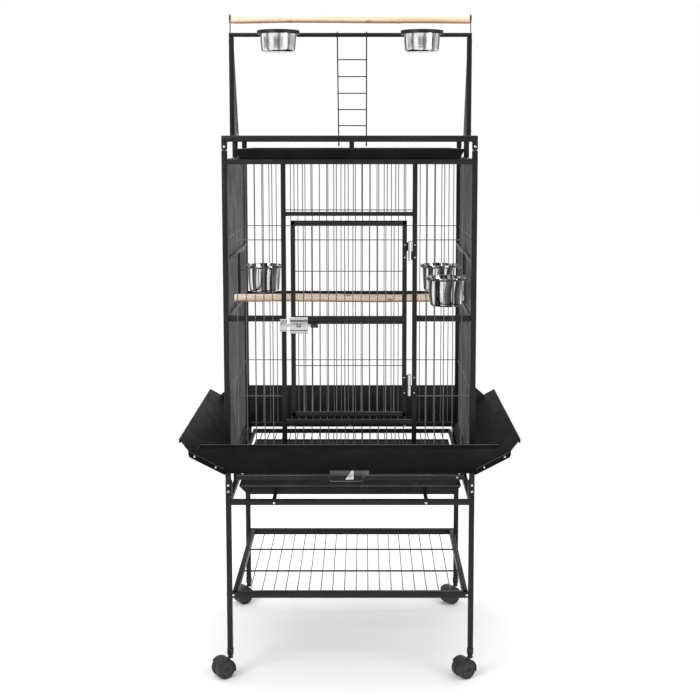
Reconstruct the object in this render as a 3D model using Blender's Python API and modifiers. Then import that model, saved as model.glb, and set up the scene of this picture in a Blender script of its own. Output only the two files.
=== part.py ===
"""A play-top bird cage on a wheeled stand, welded from square tube and wire.

Z is up, the door side faces -Y, and the origin is on the floor under the middle of the cage.
Each welded frame, sheet, cup, perch and caster part is one object. Sizes are in metres.
"""

import math

import bmesh
import bpy
from mathutils import Matrix, Vector

# ------------------------------------------------------------------ driving sizes
GAP = 0.0003  # left between two pieces that touch
MERGE = 0.00001
BITE = 0.0006  # how far a welded wire or bar sinks into its rail

WIDTH = 0.645  # cage, outside its corner posts
DEPTH = 0.560
TUBE = 0.014  # corner posts, legs and rails
WIRE = 0.0024
PITCH = 0.0212  # from one upright wire to the next

# heights
LEG_FOOT = 0.074
SHELF_LOW, SHELF_TUBE = 0.212, 0.016
BRACE_LOW = 0.461  # cross tubes under the trays
LEG_TOP = 0.5057
BASE_LOW = 0.545  # bottom rails of the cage
MID_LOW, MID_TALL = 0.941, 0.015
ROOF_LOW, ROOF_TALL = 1.341, 0.013
POST_TOP = 1.375
DECK_LOW, DECK_TALL = 1.397, 0.016  # ring that carries the play top
ARCH_TOP = 1.673
PERCH_Z = 1.721

# front: jambs, door and latch
JAMB = 0.012
OPENING_LEFT, OPENING_RIGHT = -0.162, 0.159
SILL_LOW, SILL_TALL = 0.673, 0.013
TRANSOM_LOW, TRANSOM_TALL = 1.211, 0.010
DOOR_LEFT, DOOR_RIGHT = -0.150, 0.145
DOOR_LOW, DOOR_HIGH = 0.695, 1.199
DOOR_BAR = 0.0115
HINGE_OUT = 0.003  # axis in front of the cage's front face
HINGE_SPANS = ((1.099, 1.145), (0.750, 0.804))
PIN_R, KNUCKLE_IN, KNUCKLE_OUT = 0.0020, 0.0023, 0.0045
PIN_PAST, PIN_HEAD = 0.0015, 0.003
LEAF_TO_BORE, LEAF_SHORT = 0.0002, 0.006  # a hinge leaf's edges, from the bore and the bar's edge
DOOR_THICK = 0.012
LATCH_Z = 0.932
BOLT_TALL, BOLT_THICK, BOLT_LONG = 0.008, 0.003, 0.062
BOLT_STAND = 0.0022  # bolt's back, in front of the cage's face
KNOB_AT, KNOB_R, KNOB_OUT = 0.0665, 0.0062, 0.012
LATCH_WALL, LATCH_SHEET = 0.0012, 0.0010
PLATE_SLACK, KEEPER_SLACK = 0.0004, 0.0008
PLATE_OVER, PLATE_WIDE, PLATE_TALL = 0.003, 0.046, 0.042
KEEPER_OVER, KEEPER_WIDE, KEEPER_TALL = 0.002, 0.0185, 0.032
KEEPER_CLEAR = 0.001  # bolt tip to keeper when drawn back

# feeder doors and cups
FEEDER_RAIL_LOW, FEEDER_RAIL_TALL = 1.091, 0.010
FEEDER_FROM_CORNER, FEEDER_LONG = 0.024, 0.200  # opening: from the cage's corner, and its length
FEEDER_BAR = 0.005
FEEDER_FREE = 0.0015  # gap round a feeder door
FEEDER_HINGE_FREE = 0.0005  # its gap on the hinge side
FEEDER_HINGE_IN = 0.001
END_BAR = 0.006  # upright bars at a side panel's ends and beside a feeder door
CUP_TOP_R, CUP_SHEET = 0.0475, 0.0010
RIM_OUT, RIM_TALL = 0.0065, 0.0035  # a cup's rolled rim
FEED_CUP_RIM_Z, FEED_CUP_TALL, FEED_CUP_BASE_R = 1.045, 0.075, 0.0425
TOP_CUP_RIM_Z, TOP_CUP_TALL, TOP_CUP_BASE_R = 1.685, 0.055, 0.0440
RING_WIDE, RING_TALL, RING_CLEAR = 0.003, 0.004, 0.0012
ARM_IN, ARM_TRIM = 0.0025, 0.0005  # a ring's arm: its start past the cup, and how much thinner it is
CUP_LIFT_FREE = 0.003  # a feeder cup's rim to the rails that it is lifted past
LEFT_CUP_PAST, RIGHT_CUP_PAST = 0.004, 0.016  # its middle, beyond its door's middle
ROUND = 16  # sides of a cup

# play top
ARCH_Y = -0.062
ARCH_TUBE = 0.013
ARCH_BACK_TOP, ARCH_BACK_LOW = -0.030, 0.090
BAR_R = 0.0056
PERCH_R, PERCH_BOW = 0.009, 0.002
SCREEN_BAR, SCREEN_HALF, SCREEN_BITE = 0.006, 0.0025, 0.003
BRACKET_R, BRACKET_IN, BRACKET_OUT = 0.0120, 0.0050, 0.0020  # washer, and its faces from the side
STRAP_HALF, STRAP_TRIM = 0.0035, 0.0004
TOP_CUP_X, TOP_CUP_FREE = 0.187, 0.0021  # and the gap from its rim to its clip
CLIP_HALF, CLIP_SHEET, CLIP_DOWN, CLIP_ARM_HALF = 0.012, 0.0020, 0.012, 0.006
LADDER_LEFT, LADDER_RIGHT = -0.035, 0.043
LADDER_FOOT_Z = 1.3845
LADDER_FOOT_Y = 0.120
LADDER_R = 0.0015
LADDER_FOOT_CLEAR = 0.001
RUNG_TOP_Z, RUNG_DROP, RUNGS, RUNG_R = 1.617, 0.0438, 6, 0.00135

INNER_PERCH_Y, INNER_PERCH_Z, INNER_PERCH_R = -0.050, 0.9745, 0.010

# trays, grate and guards
SHEET = 0.0012
TRAY_RIM_Z = 0.508
TRAY_SIDE_IN, TRAY_FRONT_IN, TRAY_BACK_IN = 0.0335, 0.015, 0.018  # in from the cage's faces
TRAY_SLOPE_X, TRAY_SLOPE_Y = 0.018, 0.033
TOP_TRAY_RIM_Z, TOP_TRAY_FLOOR_Z = 1.379, 1.3543
TOP_TRAY_SLOPE = 0.006
RUNNER_X, RUNNER_WIDE, RUNNER_THICK = 0.197, 0.010, 0.0019
GRATE_LOW, GRATE_TALL = 0.528, 0.0125
GRATE_SIDE_IN, GRATE_BAR, GRATE_FRONT_BAR = 0.0265, 0.008, 0.012
GRATE_IN = 0.0005  # grate and top tray fronts, behind the cage's front face
GRATE_WIRE_DOWN = 0.005
HANDLE_LEFT, HANDLE_RIGHT, HANDLE_OUT, HANDLE_DROP = -0.052, 0.034, 0.032, 0.004
HANDLE_BEND, HANDLE_R, HANDLE_UP = 0.008, 0.0017, 0.0095
CATCH_STAND, CATCH_SHEET, CATCH_STUD_R, CATCH_HEAD = 0.0022, 0.0010, 0.0025, 0.0015
CATCH_UP = 0.008  # its pivot, above the grate's underside
CATCH_HOOK = (  # about the pivot
    (-0.0125, -0.006), (0.0030, -0.006), (0.0050, 0.017), (0.0010, 0.018), (-0.0030, 0.008),
)
LEDGE_SHEET = 0.0012
LEDGE_WEB, LEDGE_LAP, LEDGE_TOP_IN = 0.0065, 0.006, 0.004
ROOF_BAR, ROOF_STEP = 0.008, 0.004  # roof grille's bars; its underside and wires, from the rail's
GUARD_LOW = 0.556
GUARD_OUT, GUARD_RISE = 0.110, 0.0925
GUARD_MITRE = 0.082  # how far out the corner joint runs
GUARD_PAST = 0.050  # rim, past the cage's corner
GUARD_FLANGE = 0.010
LIP, LIP_OUT = 0.010, 0.0004
MITRE_GAP = 0.0010

# stand
TONGUE_SHEET, TONGUE_HALF = 0.002, 0.020
SHELF_PITCH, SHELF_WIRE_DOWN = 0.0315, 0.004
STRAP_FOLD = 0.001  # a runner's folded end, above the cross tube's underside

# casters
WHEEL_R, WHEEL_WIDE, WEB_WIDE = 0.025, 0.0165, 0.0090
WHEEL_SIDES = 20
AXLE_R, AXLE_FREE, AXLE_SHORT = 0.004, 0.0006, 0.002
WHEEL_FREE = 0.0003
TRAIL = 0.022
HOOD_FREE, HOOD_SHEET, HOOD_FROM, HOOD_TO = 0.0009, 0.0017, 40, 200
WEB_DOWN = 0.003  # the web's edge, inside the wheels'
NECK_TRIM, NECK_FROM, NECK_TO, NECK_X = 0.0005, 0.0065, 0.0180, (-0.022, 0.004)  # from the axle
RISER_TRIM, RISER_FROM, RISER_X = 0.0010, 0.0150, (-0.020, 0.003)
STEM_R, STEM_LONG, STEM_BITE = 0.0072, 0.011, 0.003
STEM_FREE = 0.00235  # its underside, over the wheels
SOCKET_R = 0.0088
CASTER_TURN = {"front_left": -146, "front_right": -146, "back_left": -146, "back_right": -146}

# ------------------------------------------------------------------ derived places
HALF_W, HALF_D = WIDTH / 2, DEPTH / 2
FRONT = -HALF_D
POST_IN_X, POST_IN_Y = HALF_W - TUBE, HALF_D - TUBE
PANEL_END = POST_IN_Y - GAP
WIRE_IN = 0.0045  # centre of the wires, in from a panel's outer face
RAIL_IN = WIRE_IN + WIRE / 2 - BITE  # outer face of the rails behind the wires
SHELF_TOP = SHELF_LOW + SHELF_TUBE
ROOF_TOP = ROOF_LOW + ROOF_TALL
DECK_TOP = DECK_LOW + DECK_TALL
BASE_TOP = BASE_LOW + TUBE
MID_TOP = MID_LOW + MID_TALL
HINGE_X = (DOOR_RIGHT + OPENING_RIGHT) / 2
HINGE_Y = FRONT - HINGE_OUT
BAR_Z = ARCH_TOP + GAP + BAR_R
FEEDER_FAR = HALF_D - FEEDER_FROM_CORNER  # both from the cage's middle
FEEDER_NEAR = FEEDER_FAR - FEEDER_LONG
FEEDER_MIDDLE = (FEEDER_NEAR + FEEDER_FAR) / 2
CUP_RIM_R = CUP_TOP_R + RIM_OUT
FEEDER_CUP_X = POST_IN_X - CUP_LIFT_FREE - CUP_RIM_R
TOP_CUP_Y = ARCH_Y - BAR_R - GAP - CLIP_SHEET - TOP_CUP_FREE - CUP_RIM_R
TRAY_HALF, GRATE_HALF = HALF_W - TRAY_SIDE_IN, HALF_W - GRATE_SIDE_IN
TRAY_FRONT, TRAY_BACK = FRONT + TRAY_FRONT_IN, HALF_D - TRAY_BACK_IN
TRAY_FLOOR_Z = BRACE_LOW + TUBE + GAP + RUNNER_THICK + GAP
STEM_LOW = WHEEL_R + math.sqrt(WHEEL_R ** 2 - (TRAIL - STEM_R) ** 2) + STEM_FREE
STEM_TOP = STEM_LOW + STEM_LONG

COLOURS = {
    "black_steel": ((0.030, 0.031, 0.033, 1), 0.45, 0.3),
    "black_sheet": ((0.022, 0.022, 0.024, 1), 0.30, 0.2),
    "stainless": ((0.72, 0.72, 0.73, 1), 0.16, 1.0),
    "zinc": ((0.62, 0.62, 0.61, 1), 0.32, 1.0),
    "wood": ((0.62, 0.43, 0.26, 1), 0.65, 0.0),
    "black_plastic": ((0.020, 0.020, 0.021, 1), 0.50, 0.0),
    "tyre": ((0.028, 0.028, 0.030, 1), 0.60, 0.0),
}


# ------------------------------------------------------------------ scene helpers
def clear_scene():
    for old in list(bpy.data.objects):
        bpy.data.objects.remove(old, do_unlink=True)


def collection(name):
    found = bpy.data.collections.new(name)
    bpy.context.scene.collection.children.link(found)
    return found


def paint(obj, kind):
    colour, roughness, metallic = COLOURS[kind]
    material = bpy.data.materials.new(obj.name)
    material.use_nodes = True
    shader = material.node_tree.nodes["Principled BSDF"]
    shader.inputs["Base Color"].default_value = colour
    shader.inputs["Roughness"].default_value = roughness
    shader.inputs["Metallic"].default_value = metallic
    obj.data.materials.clear()
    obj.data.materials.append(material)
    return obj


def add(name, data):
    obj = bpy.data.objects.new(name, data)
    CAGE.objects.link(obj)
    return obj


def from_bmesh(name, bm):
    mesh = bpy.data.meshes.new(name)
    bm.to_mesh(mesh)
    bm.free()
    return add(name, mesh)


def blocks(name, spans):
    """One mesh of boxes, each given by its low and high corner."""
    bm = bmesh.new()
    for low, high in spans:
        low, high = Vector(low), Vector(high)
        size = high - low
        place = Matrix.Translation((low + high) / 2) @ Matrix.Diagonal((*size, 1))
        bmesh.ops.create_cube(bm, size=1, matrix=place)
    return from_bmesh(name, bm)


def cylinder(name, radius, start, end, sides=12):
    start, end = Vector(start), Vector(end)
    bm = bmesh.new()
    turn = (end - start).to_track_quat("Z", "Y").to_matrix().to_4x4()
    bmesh.ops.create_cone(
        bm, cap_ends=True, segments=sides, radius1=radius, radius2=radius,
        depth=(end - start).length, matrix=Matrix.Translation((start + end) / 2) @ turn,
    )
    return from_bmesh(name, bm)


def mesh_of(obj):
    """The evaluated shape of a curve or a modified object as a plain mesh object in its place."""
    bpy.context.view_layer.update()
    graph = bpy.context.evaluated_depsgraph_get()
    mesh = bpy.data.meshes.new_from_object(obj.evaluated_get(graph), depsgraph=graph)
    bm = bmesh.new()
    bm.from_mesh(mesh)
    bmesh.ops.remove_doubles(bm, verts=bm.verts, dist=MERGE)
    bmesh.ops.recalc_face_normals(bm, faces=bm.faces)
    bm.transform(obj.matrix_world)
    bm.to_mesh(mesh)
    bm.free()
    name = obj.name
    bpy.data.objects.remove(obj, do_unlink=True)
    made = add(name, mesh)
    made.name = name
    return made


PLANES = {
    # (across, up, through): where an outline's first and second numbers point
    "XY": Matrix.Identity(4),
    "XZ": Matrix(((1, 0, 0, 0), (0, 0, -1, 0), (0, 1, 0, 0), (0, 0, 0, 1))),
    "YZ": Matrix(((0, 0, 1, 0), (1, 0, 0, 0), (0, 1, 0, 0), (0, 0, 0, 1))),
}


def outline(name, plane, rings, low, high):
    """A flat shape with holes, filled and given thickness from low to high across its plane."""
    curve = bpy.data.curves.new(name, "CURVE")
    curve.dimensions = "2D"
    curve.fill_mode = "BOTH"
    curve.extrude = abs(high - low) / 2
    for ring in rings:
        spline = curve.splines.new("POLY")
        spline.points.add(len(ring) - 1)
        for point, (across, up) in zip(spline.points, ring):
            point.co = (across, up, 0, 1)
        spline.use_cyclic_u = True
    obj = add(name, curve)
    way = -1 if plane == "XZ" else 1
    obj.matrix_world = PLANES[plane] @ Matrix.Translation((0, 0, way * (low + high) / 2))
    return mesh_of(obj)


def tube(name, points, radius, resolution=1):
    curve = bpy.data.curves.new(name, "CURVE")
    curve.dimensions = "3D"
    curve.bevel_depth = radius
    curve.bevel_resolution = resolution
    curve.use_fill_caps = True
    spline = curve.splines.new("POLY")
    spline.points.add(len(points) - 1)
    for point, place in zip(spline.points, points):
        point.co = (*place, 1)
    return mesh_of(add(name, curve))


def turned(name, profile, sides):
    """A profile of (radius, height) turned about Z; it ends by running down the outer side."""
    mesh = bpy.data.meshes.new(name)
    mesh.from_pydata(
        [(radius, 0, height) for radius, height in profile],
        [(i, i + 1) for i in range(len(profile) - 1)], [],
    )
    obj = add(name, mesh)
    screw = obj.modifiers.new("turn", "SCREW")
    screw.steps = screw.render_steps = sides
    screw.use_merge_vertices = True
    screw.merge_threshold = MERGE
    screw.use_normal_calculate = True
    return mesh_of(obj)


def weld(base, *others):
    """Joins solids that overlap into one closed body, which keeps the first one's name."""
    for other in others:
        union = base.modifiers.new("weld", "BOOLEAN")
        union.operation = "UNION"
        union.solver = "EXACT"
        union.object = other
        base = mesh_of(base)
        bpy.data.objects.remove(other, do_unlink=True)
    return base


def rectangle(left, low, right, high):
    return [(left, low), (right, low), (right, high), (left, high)]


def circle(radius, sides, centre=(0, 0)):
    steps = [2 * math.pi * i / sides for i in range(sides)]
    return [(centre[0] + radius * math.cos(a), centre[1] + radius * math.sin(a)) for a in steps]


def spread(low, high, pitch=PITCH):
    """Even places between two rails, as near the pitch as fits."""
    gaps = max(1, round((high - low) / pitch))
    return [low + (high - low) * i / gaps for i in range(1, gaps)]


def pivot(obj, place):
    """Moves a piece's origin to its joint, leaving its shape where it is."""
    obj.data.transform(Matrix.Translation(-Vector(place)))
    obj.location = place
    return obj


# ------------------------------------------------------------------ wire panels
def upright_wires(plane, face, inward, spans):
    """Boxes for upright wires just inside a panel's outer face. spans: (place, low, high)."""
    depth = sorted((face + inward * (WIRE_IN - WIRE / 2), face + inward * (WIRE_IN + WIRE / 2)))
    for place, low, high in spans:
        side = (place - WIRE / 2, place + WIRE / 2)
        if plane == "XZ":
            yield (side[0], depth[0], low), (side[1], depth[1], high)
        else:
            yield (depth[0], side[0], low), (depth[1], side[1], high)


def end_frame_outline(holes):
    """The front or back panel: posts that stand on the legs and pass the top rail, with rails."""
    foot = LEG_TOP + GAP
    outer = [
        (-HALF_W, foot), (-POST_IN_X, foot), (-POST_IN_X, BASE_LOW), (POST_IN_X, BASE_LOW),
        (POST_IN_X, foot), (HALF_W, foot), (HALF_W, POST_TOP), (POST_IN_X, POST_TOP),
        (POST_IN_X, ROOF_TOP), (-POST_IN_X, ROOF_TOP), (-POST_IN_X, POST_TOP), (-HALF_W, POST_TOP),
    ]
    return [outer] + holes


def make_front_panel():
    jamb_left, jamb_right = OPENING_LEFT - JAMB, OPENING_RIGHT + JAMB
    sill_top, transom_top = SILL_LOW + SILL_TALL, TRANSOM_LOW + TRANSOM_TALL
    hole = rectangle(-POST_IN_X, BASE_TOP, POST_IN_X, ROOF_LOW)
    frame = outline("front_panel", "XZ", end_frame_outline([hole]), FRONT, FRONT + TUBE)
    back = FRONT + TUBE - 2 * BITE
    jambs = blocks("jambs", [
        ((jamb_left, FRONT, BASE_TOP - BITE), (OPENING_LEFT, back, ROOF_LOW + BITE)),
        ((OPENING_RIGHT, FRONT, BASE_TOP - BITE), (jamb_right, back, ROOF_LOW + BITE)),
    ])
    bars = blocks("bars", [
        ((OPENING_LEFT - BITE, FRONT + BITE, SILL_LOW), (OPENING_RIGHT + BITE, back - BITE, sill_top)),
        ((OPENING_LEFT - BITE, FRONT + BITE, TRANSOM_LOW), (OPENING_RIGHT + BITE, back - BITE, transom_top)),
    ])
    rails = blocks("rails", [
        ((-POST_IN_X - BITE, FRONT + RAIL_IN, MID_LOW), (jamb_left + BITE, FRONT + TUBE - BITE, MID_TOP)),
        ((jamb_right - BITE, FRONT + RAIL_IN, MID_LOW), (POST_IN_X + BITE, FRONT + TUBE - BITE, MID_TOP)),
    ])
    sides = spread(-POST_IN_X, jamb_left) + spread(jamb_right, POST_IN_X)
    spans = [(x, BASE_TOP - BITE, ROOF_LOW + BITE) for x in sides]
    middle = spread(OPENING_LEFT, OPENING_RIGHT)
    spans += [(x, BASE_TOP - BITE, SILL_LOW + BITE) for x in middle]
    spans += [(x, transom_top - BITE, ROOF_LOW + BITE) for x in middle]
    wires = blocks("wires", upright_wires("XZ", FRONT, 1, spans))
    leaves, knuckles = hinge_leaves(1, jamb_right - LEAF_SHORT, upper=False)
    return weld(frame, jambs, bars, rails, wires, leaves, *knuckles)


def make_back_panel():
    hole = rectangle(-POST_IN_X, BASE_TOP, POST_IN_X, ROOF_LOW)
    frame = outline("back_panel", "XZ", end_frame_outline([hole]), HALF_D - TUBE, HALF_D)
    rail = blocks("rail", [(
        (-POST_IN_X - BITE, HALF_D - TUBE + BITE, MID_LOW), (POST_IN_X + BITE, HALF_D - RAIL_IN, MID_TOP),
    )])
    spans = [(x, BASE_TOP - BITE, ROOF_LOW + BITE) for x in spread(-POST_IN_X, POST_IN_X)]
    return weld(frame, rail, blocks("wires", upright_wires("XZ", HALF_D, -1, spans)))


def make_side_panel(name, side, openings):
    """A side panel between the posts. openings: which ends, -1 front or 1 back, have a feeder door."""
    face, inner = side * HALF_W, side * (HALF_W - TUBE)
    rings = [
        rectangle(-PANEL_END, BASE_LOW, PANEL_END, ROOF_TOP),
        rectangle(-PANEL_END + END_BAR, BASE_TOP, PANEL_END - END_BAR, ROOF_LOW),
    ]
    frame = outline(name, "YZ", rings, *sorted((face, inner)))
    rail_x = sorted((face - side * RAIL_IN, inner + side * BITE))
    reach = PANEL_END - END_BAR + BITE
    feeder_top = FEEDER_RAIL_LOW + FEEDER_RAIL_TALL
    rails = blocks("rails", [
        ((rail_x[0], -reach, MID_LOW), (rail_x[1], reach, MID_TOP)),
        ((rail_x[0], -reach, FEEDER_RAIL_LOW), (rail_x[1], reach, feeder_top)),
    ])
    posts = []
    spans = []
    for y in spread(-PANEL_END + END_BAR, PANEL_END - END_BAR):
        if any(FEEDER_NEAR < y * way < FEEDER_FAR for way in openings):
            spans.append((y, BASE_TOP - BITE, MID_TOP - BITE))
            spans.append((y, FEEDER_RAIL_LOW + BITE, ROOF_LOW + BITE))
        else:
            spans.append((y, BASE_TOP - BITE, ROOF_LOW + BITE))
    for way in openings:
        y = sorted((way * FEEDER_NEAR, way * (FEEDER_NEAR - END_BAR)))
        posts.append((
            (rail_x[0] + BITE, y[0], MID_TOP - BITE), (rail_x[1] - BITE, y[1], FEEDER_RAIL_LOW + BITE),
        ))
    wires = blocks("wires", upright_wires("YZ", face, -side, spans))
    return weld(frame, rails, blocks("posts", posts), wires, make_ledge(side))


def make_ledge(side):
    """The bent strip under a side panel that carries the grate's edge."""
    web_out = GRATE_HALF + LEDGE_WEB
    top_in, lap_in = POST_IN_X + LEDGE_TOP_IN, GRATE_HALF - LEDGE_LAP
    low = GRATE_LOW - GAP - LEDGE_SHEET
    top = BASE_LOW + BITE
    section = [
        (web_out, low), (web_out, top - LEDGE_SHEET), (top_in, top - LEDGE_SHEET), (top_in, top),
        (web_out - LEDGE_SHEET, top), (web_out - LEDGE_SHEET, low + LEDGE_SHEET),
        (lap_in, low + LEDGE_SHEET), (lap_in, low),
    ]
    section = [(side * x, z) for x, z in section]
    return outline("ledge", "XZ", [section], -PANEL_END, PANEL_END)


def make_roof_grille():
    half_x, half_y, bar = POST_IN_X - GAP, POST_IN_Y - GAP, ROOF_BAR
    rings = [
        rectangle(-half_x, -half_y, half_x, half_y),
        rectangle(-half_x + bar, -half_y + bar, half_x - bar, half_y - bar),
    ]
    frame = outline("roof_grille", "XY", rings, ROOF_LOW + ROOF_STEP, ROOF_TOP)
    z = ROOF_TOP - ROOF_STEP
    end = half_y - bar + BITE
    wires = [((x - WIRE / 2, -end, z - WIRE / 2), (x + WIRE / 2, end, z + WIRE / 2))
             for x in spread(-half_x + bar, half_x - bar)]
    return weld(frame, blocks("wires", wires))


# ------------------------------------------------------------------ door
def hinge_leaves(way, plate_end, upper):
    """The leaves and knuckles of both hinges, for the door (upper halves) or the jamb."""
    leaves, knuckles = [], []
    x = sorted((HINGE_X + way * (KNUCKLE_IN + LEAF_TO_BORE), plate_end))
    for low, high in HINGE_SPANS:
        middle = (low + high) / 2
        span = (middle + GAP, high) if upper else (low, middle)
        leaves.append(((x[0], HINGE_Y - BITE, span[0] + BITE), (x[1], FRONT + BITE, span[1] - BITE)))
        rings = [circle(KNUCKLE_OUT, 12, (HINGE_X, HINGE_Y)), circle(KNUCKLE_IN, 12, (HINGE_X, HINGE_Y))]
        knuckles.append(outline("knuckle", "XY", rings, *span))
    return blocks("leaves", leaves), knuckles


def make_door():
    inner_left, inner_right = DOOR_LEFT + DOOR_BAR, DOOR_RIGHT - DOOR_BAR
    inner_low, inner_high = DOOR_LOW + DOOR_BAR, DOOR_HIGH - DOOR_BAR
    rings = [
        rectangle(DOOR_LEFT, DOOR_LOW, DOOR_RIGHT, DOOR_HIGH),
        rectangle(inner_left, inner_low, inner_right, inner_high),
    ]
    frame = outline("door", "XZ", rings, FRONT, FRONT + DOOR_THICK)
    rail = blocks("rail", [(
        (inner_left - BITE, FRONT + BITE, MID_LOW), (inner_right + BITE, FRONT + WIRE_IN, MID_TOP),
    )])
    spans = [(x, inner_low - BITE, inner_high + BITE) for x in spread(inner_left, inner_right)]
    wires = blocks("wires", upright_wires("XZ", FRONT, 1, spans))
    leaves, knuckles = hinge_leaves(-1, DOOR_RIGHT - LEAF_SHORT, upper=True)
    door = weld(frame, rail, wires, leaves, *knuckles)
    return pivot(door, (HINGE_X, HINGE_Y, DOOR_LOW))


def make_hinge_pins():
    made = []
    for name, (low, high) in zip(("hinge_pin_upper", "hinge_pin_lower"), HINGE_SPANS):
        head_low, head_top = high + GAP, high + PIN_HEAD
        shaft_top = (head_low + head_top) / 2
        shaft = cylinder(name, PIN_R, (HINGE_X, HINGE_Y, low - PIN_PAST), (HINGE_X, HINGE_Y, shaft_top), 12)
        head = cylinder("head", KNUCKLE_OUT, (HINGE_X, HINGE_Y, head_low), (HINGE_X, HINGE_Y, head_top), 12)
        made.append(weld(shaft, head))
    return made


def latch_case(name, left, right, plate_tall, slack):
    """A plate with a box section in front of it, which the bolt slides through."""
    back = FRONT - GAP
    hole_z = BOLT_TALL / 2 + slack
    case_z = hole_z + LATCH_WALL
    hole_back = FRONT - BOLT_STAND + slack
    hole_front = FRONT - BOLT_STAND - BOLT_THICK - slack
    section = rectangle(hole_front - LATCH_WALL, LATCH_Z - case_z, back, LATCH_Z + case_z)
    hole = rectangle(hole_front, LATCH_Z - hole_z, hole_back, LATCH_Z + hole_z)
    case = outline(name, "YZ", [section, hole], left, right)
    plate = blocks("plate", [(
        (left, back - LATCH_SHEET, LATCH_Z - plate_tall / 2), (right, back, LATCH_Z + plate_tall / 2),
    )])
    return weld(case, plate)


def make_latch():
    plate_left = DOOR_LEFT - PLATE_OVER
    keeper_right = OPENING_LEFT + KEEPER_OVER
    plate = latch_case("latch_plate", plate_left, plate_left + PLATE_WIDE, PLATE_TALL, PLATE_SLACK)
    keeper = latch_case(
        "latch_keeper", keeper_right - KEEPER_WIDE, keeper_right, KEEPER_TALL, KEEPER_SLACK)
    tip = keeper_right + KEEPER_CLEAR
    back = FRONT - BOLT_STAND
    front = back - BOLT_THICK
    bolt = blocks("latch_bolt", [(
        (tip, front, LATCH_Z - BOLT_TALL / 2), (tip + BOLT_LONG, back, LATCH_Z + BOLT_TALL / 2),
    )])
    knob_x = tip + KNOB_AT
    knob = cylinder("knob", KNOB_R, (knob_x, back, LATCH_Z), (knob_x, front - KNOB_OUT, LATCH_Z), 12)
    return [plate, keeper, weld(bolt, knob)]


# ------------------------------------------------------------------ cups and feeder doors
def make_cup(name, centre, rim_z, tall, base_r):
    low = rim_z - tall
    profile = [
        (0, low + CUP_SHEET), (base_r - CUP_SHEET, low + CUP_SHEET), (CUP_TOP_R - CUP_SHEET, rim_z),
        (CUP_RIM_R, rim_z), (CUP_RIM_R, rim_z - RIM_TALL), (CUP_RIM_R - CUP_SHEET, rim_z - RIM_TALL),
        (CUP_RIM_R - CUP_SHEET, rim_z - CUP_SHEET), (CUP_TOP_R, rim_z - CUP_SHEET), (base_r, low), (0, low),
    ]
    cup = turned(name, profile, ROUND)
    cup.location = (*centre, 0)
    return pivot_baked(cup, (*centre, rim_z))


def pivot_baked(obj, place):
    """Bakes the object's place into its mesh, then puts its origin at the joint."""
    obj.data.transform(Matrix.Translation(obj.location))
    obj.location = (0, 0, 0)
    return pivot(obj, place)


def cup_ring(name, centre, rim_z):
    """A flat band just under a cup's rim, round its body."""
    inner = CUP_TOP_R + RING_CLEAR
    rings = [circle(inner + RING_WIDE, ROUND, centre), circle(inner, ROUND, centre)]
    top = rim_z - RIM_TALL - GAP
    return outline(name, "XY", rings, top - RING_TALL, top)


def make_feeder_door(name, side, way, cup_y):
    """A wire door that swings out with its cup ring. way: -1 in the front half, 1 in the back."""
    near, far = FEEDER_NEAR + FEEDER_HINGE_FREE, FEEDER_FAR - FEEDER_FREE
    low, high = MID_TOP + FEEDER_FREE, FEEDER_RAIL_LOW - FEEDER_FREE
    y = sorted((way * near, way * far))
    face = HALF_W - WIRE_IN - WIRE / 2
    x = sorted((side * face, side * (face - FEEDER_BAR)))
    rings = [
        rectangle(y[0], low, y[1], high),
        rectangle(y[0] + FEEDER_BAR, low + FEEDER_BAR, y[1] - FEEDER_BAR, high - FEEDER_BAR),
    ]
    frame = outline(name, "YZ", rings, *x)
    middle = (x[0] + x[1]) / 2
    wires = [((middle - WIRE / 2, place - WIRE / 2, low + FEEDER_BAR - BITE),
              (middle + WIRE / 2, place + WIRE / 2, high - FEEDER_BAR + BITE))
             for place in spread(y[0] + FEEDER_BAR, y[1] - FEEDER_BAR)]
    centre = (side * FEEDER_CUP_X, cup_y)
    ring = cup_ring("ring", centre, FEED_CUP_RIM_Z)
    ring_top = FEED_CUP_RIM_Z - RIM_TALL - GAP
    arm_x = sorted((side * (FEEDER_CUP_X + CUP_TOP_R + ARM_IN), side * (face - FEEDER_BAR / 2)))
    arm = blocks("arm", [((arm_x[0], y[0] + BITE, ring_top - RING_TALL + ARM_TRIM),
                          (arm_x[1], y[1] - BITE, ring_top - ARM_TRIM))])
    door = weld(frame, blocks("wires", wires), ring, arm)
    return pivot(door, (side * (HALF_W - WIRE_IN), way * (FEEDER_NEAR + FEEDER_HINGE_IN), low))


# ------------------------------------------------------------------ play top
def make_deck():
    rings = [
        rectangle(-HALF_W, FRONT, HALF_W, HALF_D),
        rectangle(-POST_IN_X, FRONT + TUBE, POST_IN_X, HALF_D - TUBE),
    ]
    ring = outline("playtop_frame", "XY", rings, DECK_LOW, DECK_TOP)
    top = DECK_LOW + BITE
    post = POST_TOP + GAP
    side = ROOF_TOP + GAP
    half = TUBE / 2
    stubs = [((sx * HALF_W - (TUBE if sx > 0 else 0), sy * HALF_D - (TUBE if sy > 0 else 0), post),
              (sx * HALF_W + (TUBE if sx < 0 else 0), sy * HALF_D + (TUBE if sy < 0 else 0), top))
             for sx in (-1, 1) for sy in (-1, 1)]
    stubs += [
        ((-HALF_W, -half, side), (-POST_IN_X, half, top)), ((POST_IN_X, -half, side), (HALF_W, half, top)),
        ((-half, POST_IN_Y, side), (half, HALF_D, top)),
    ]
    return weld(ring, blocks("stubs", stubs))


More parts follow.
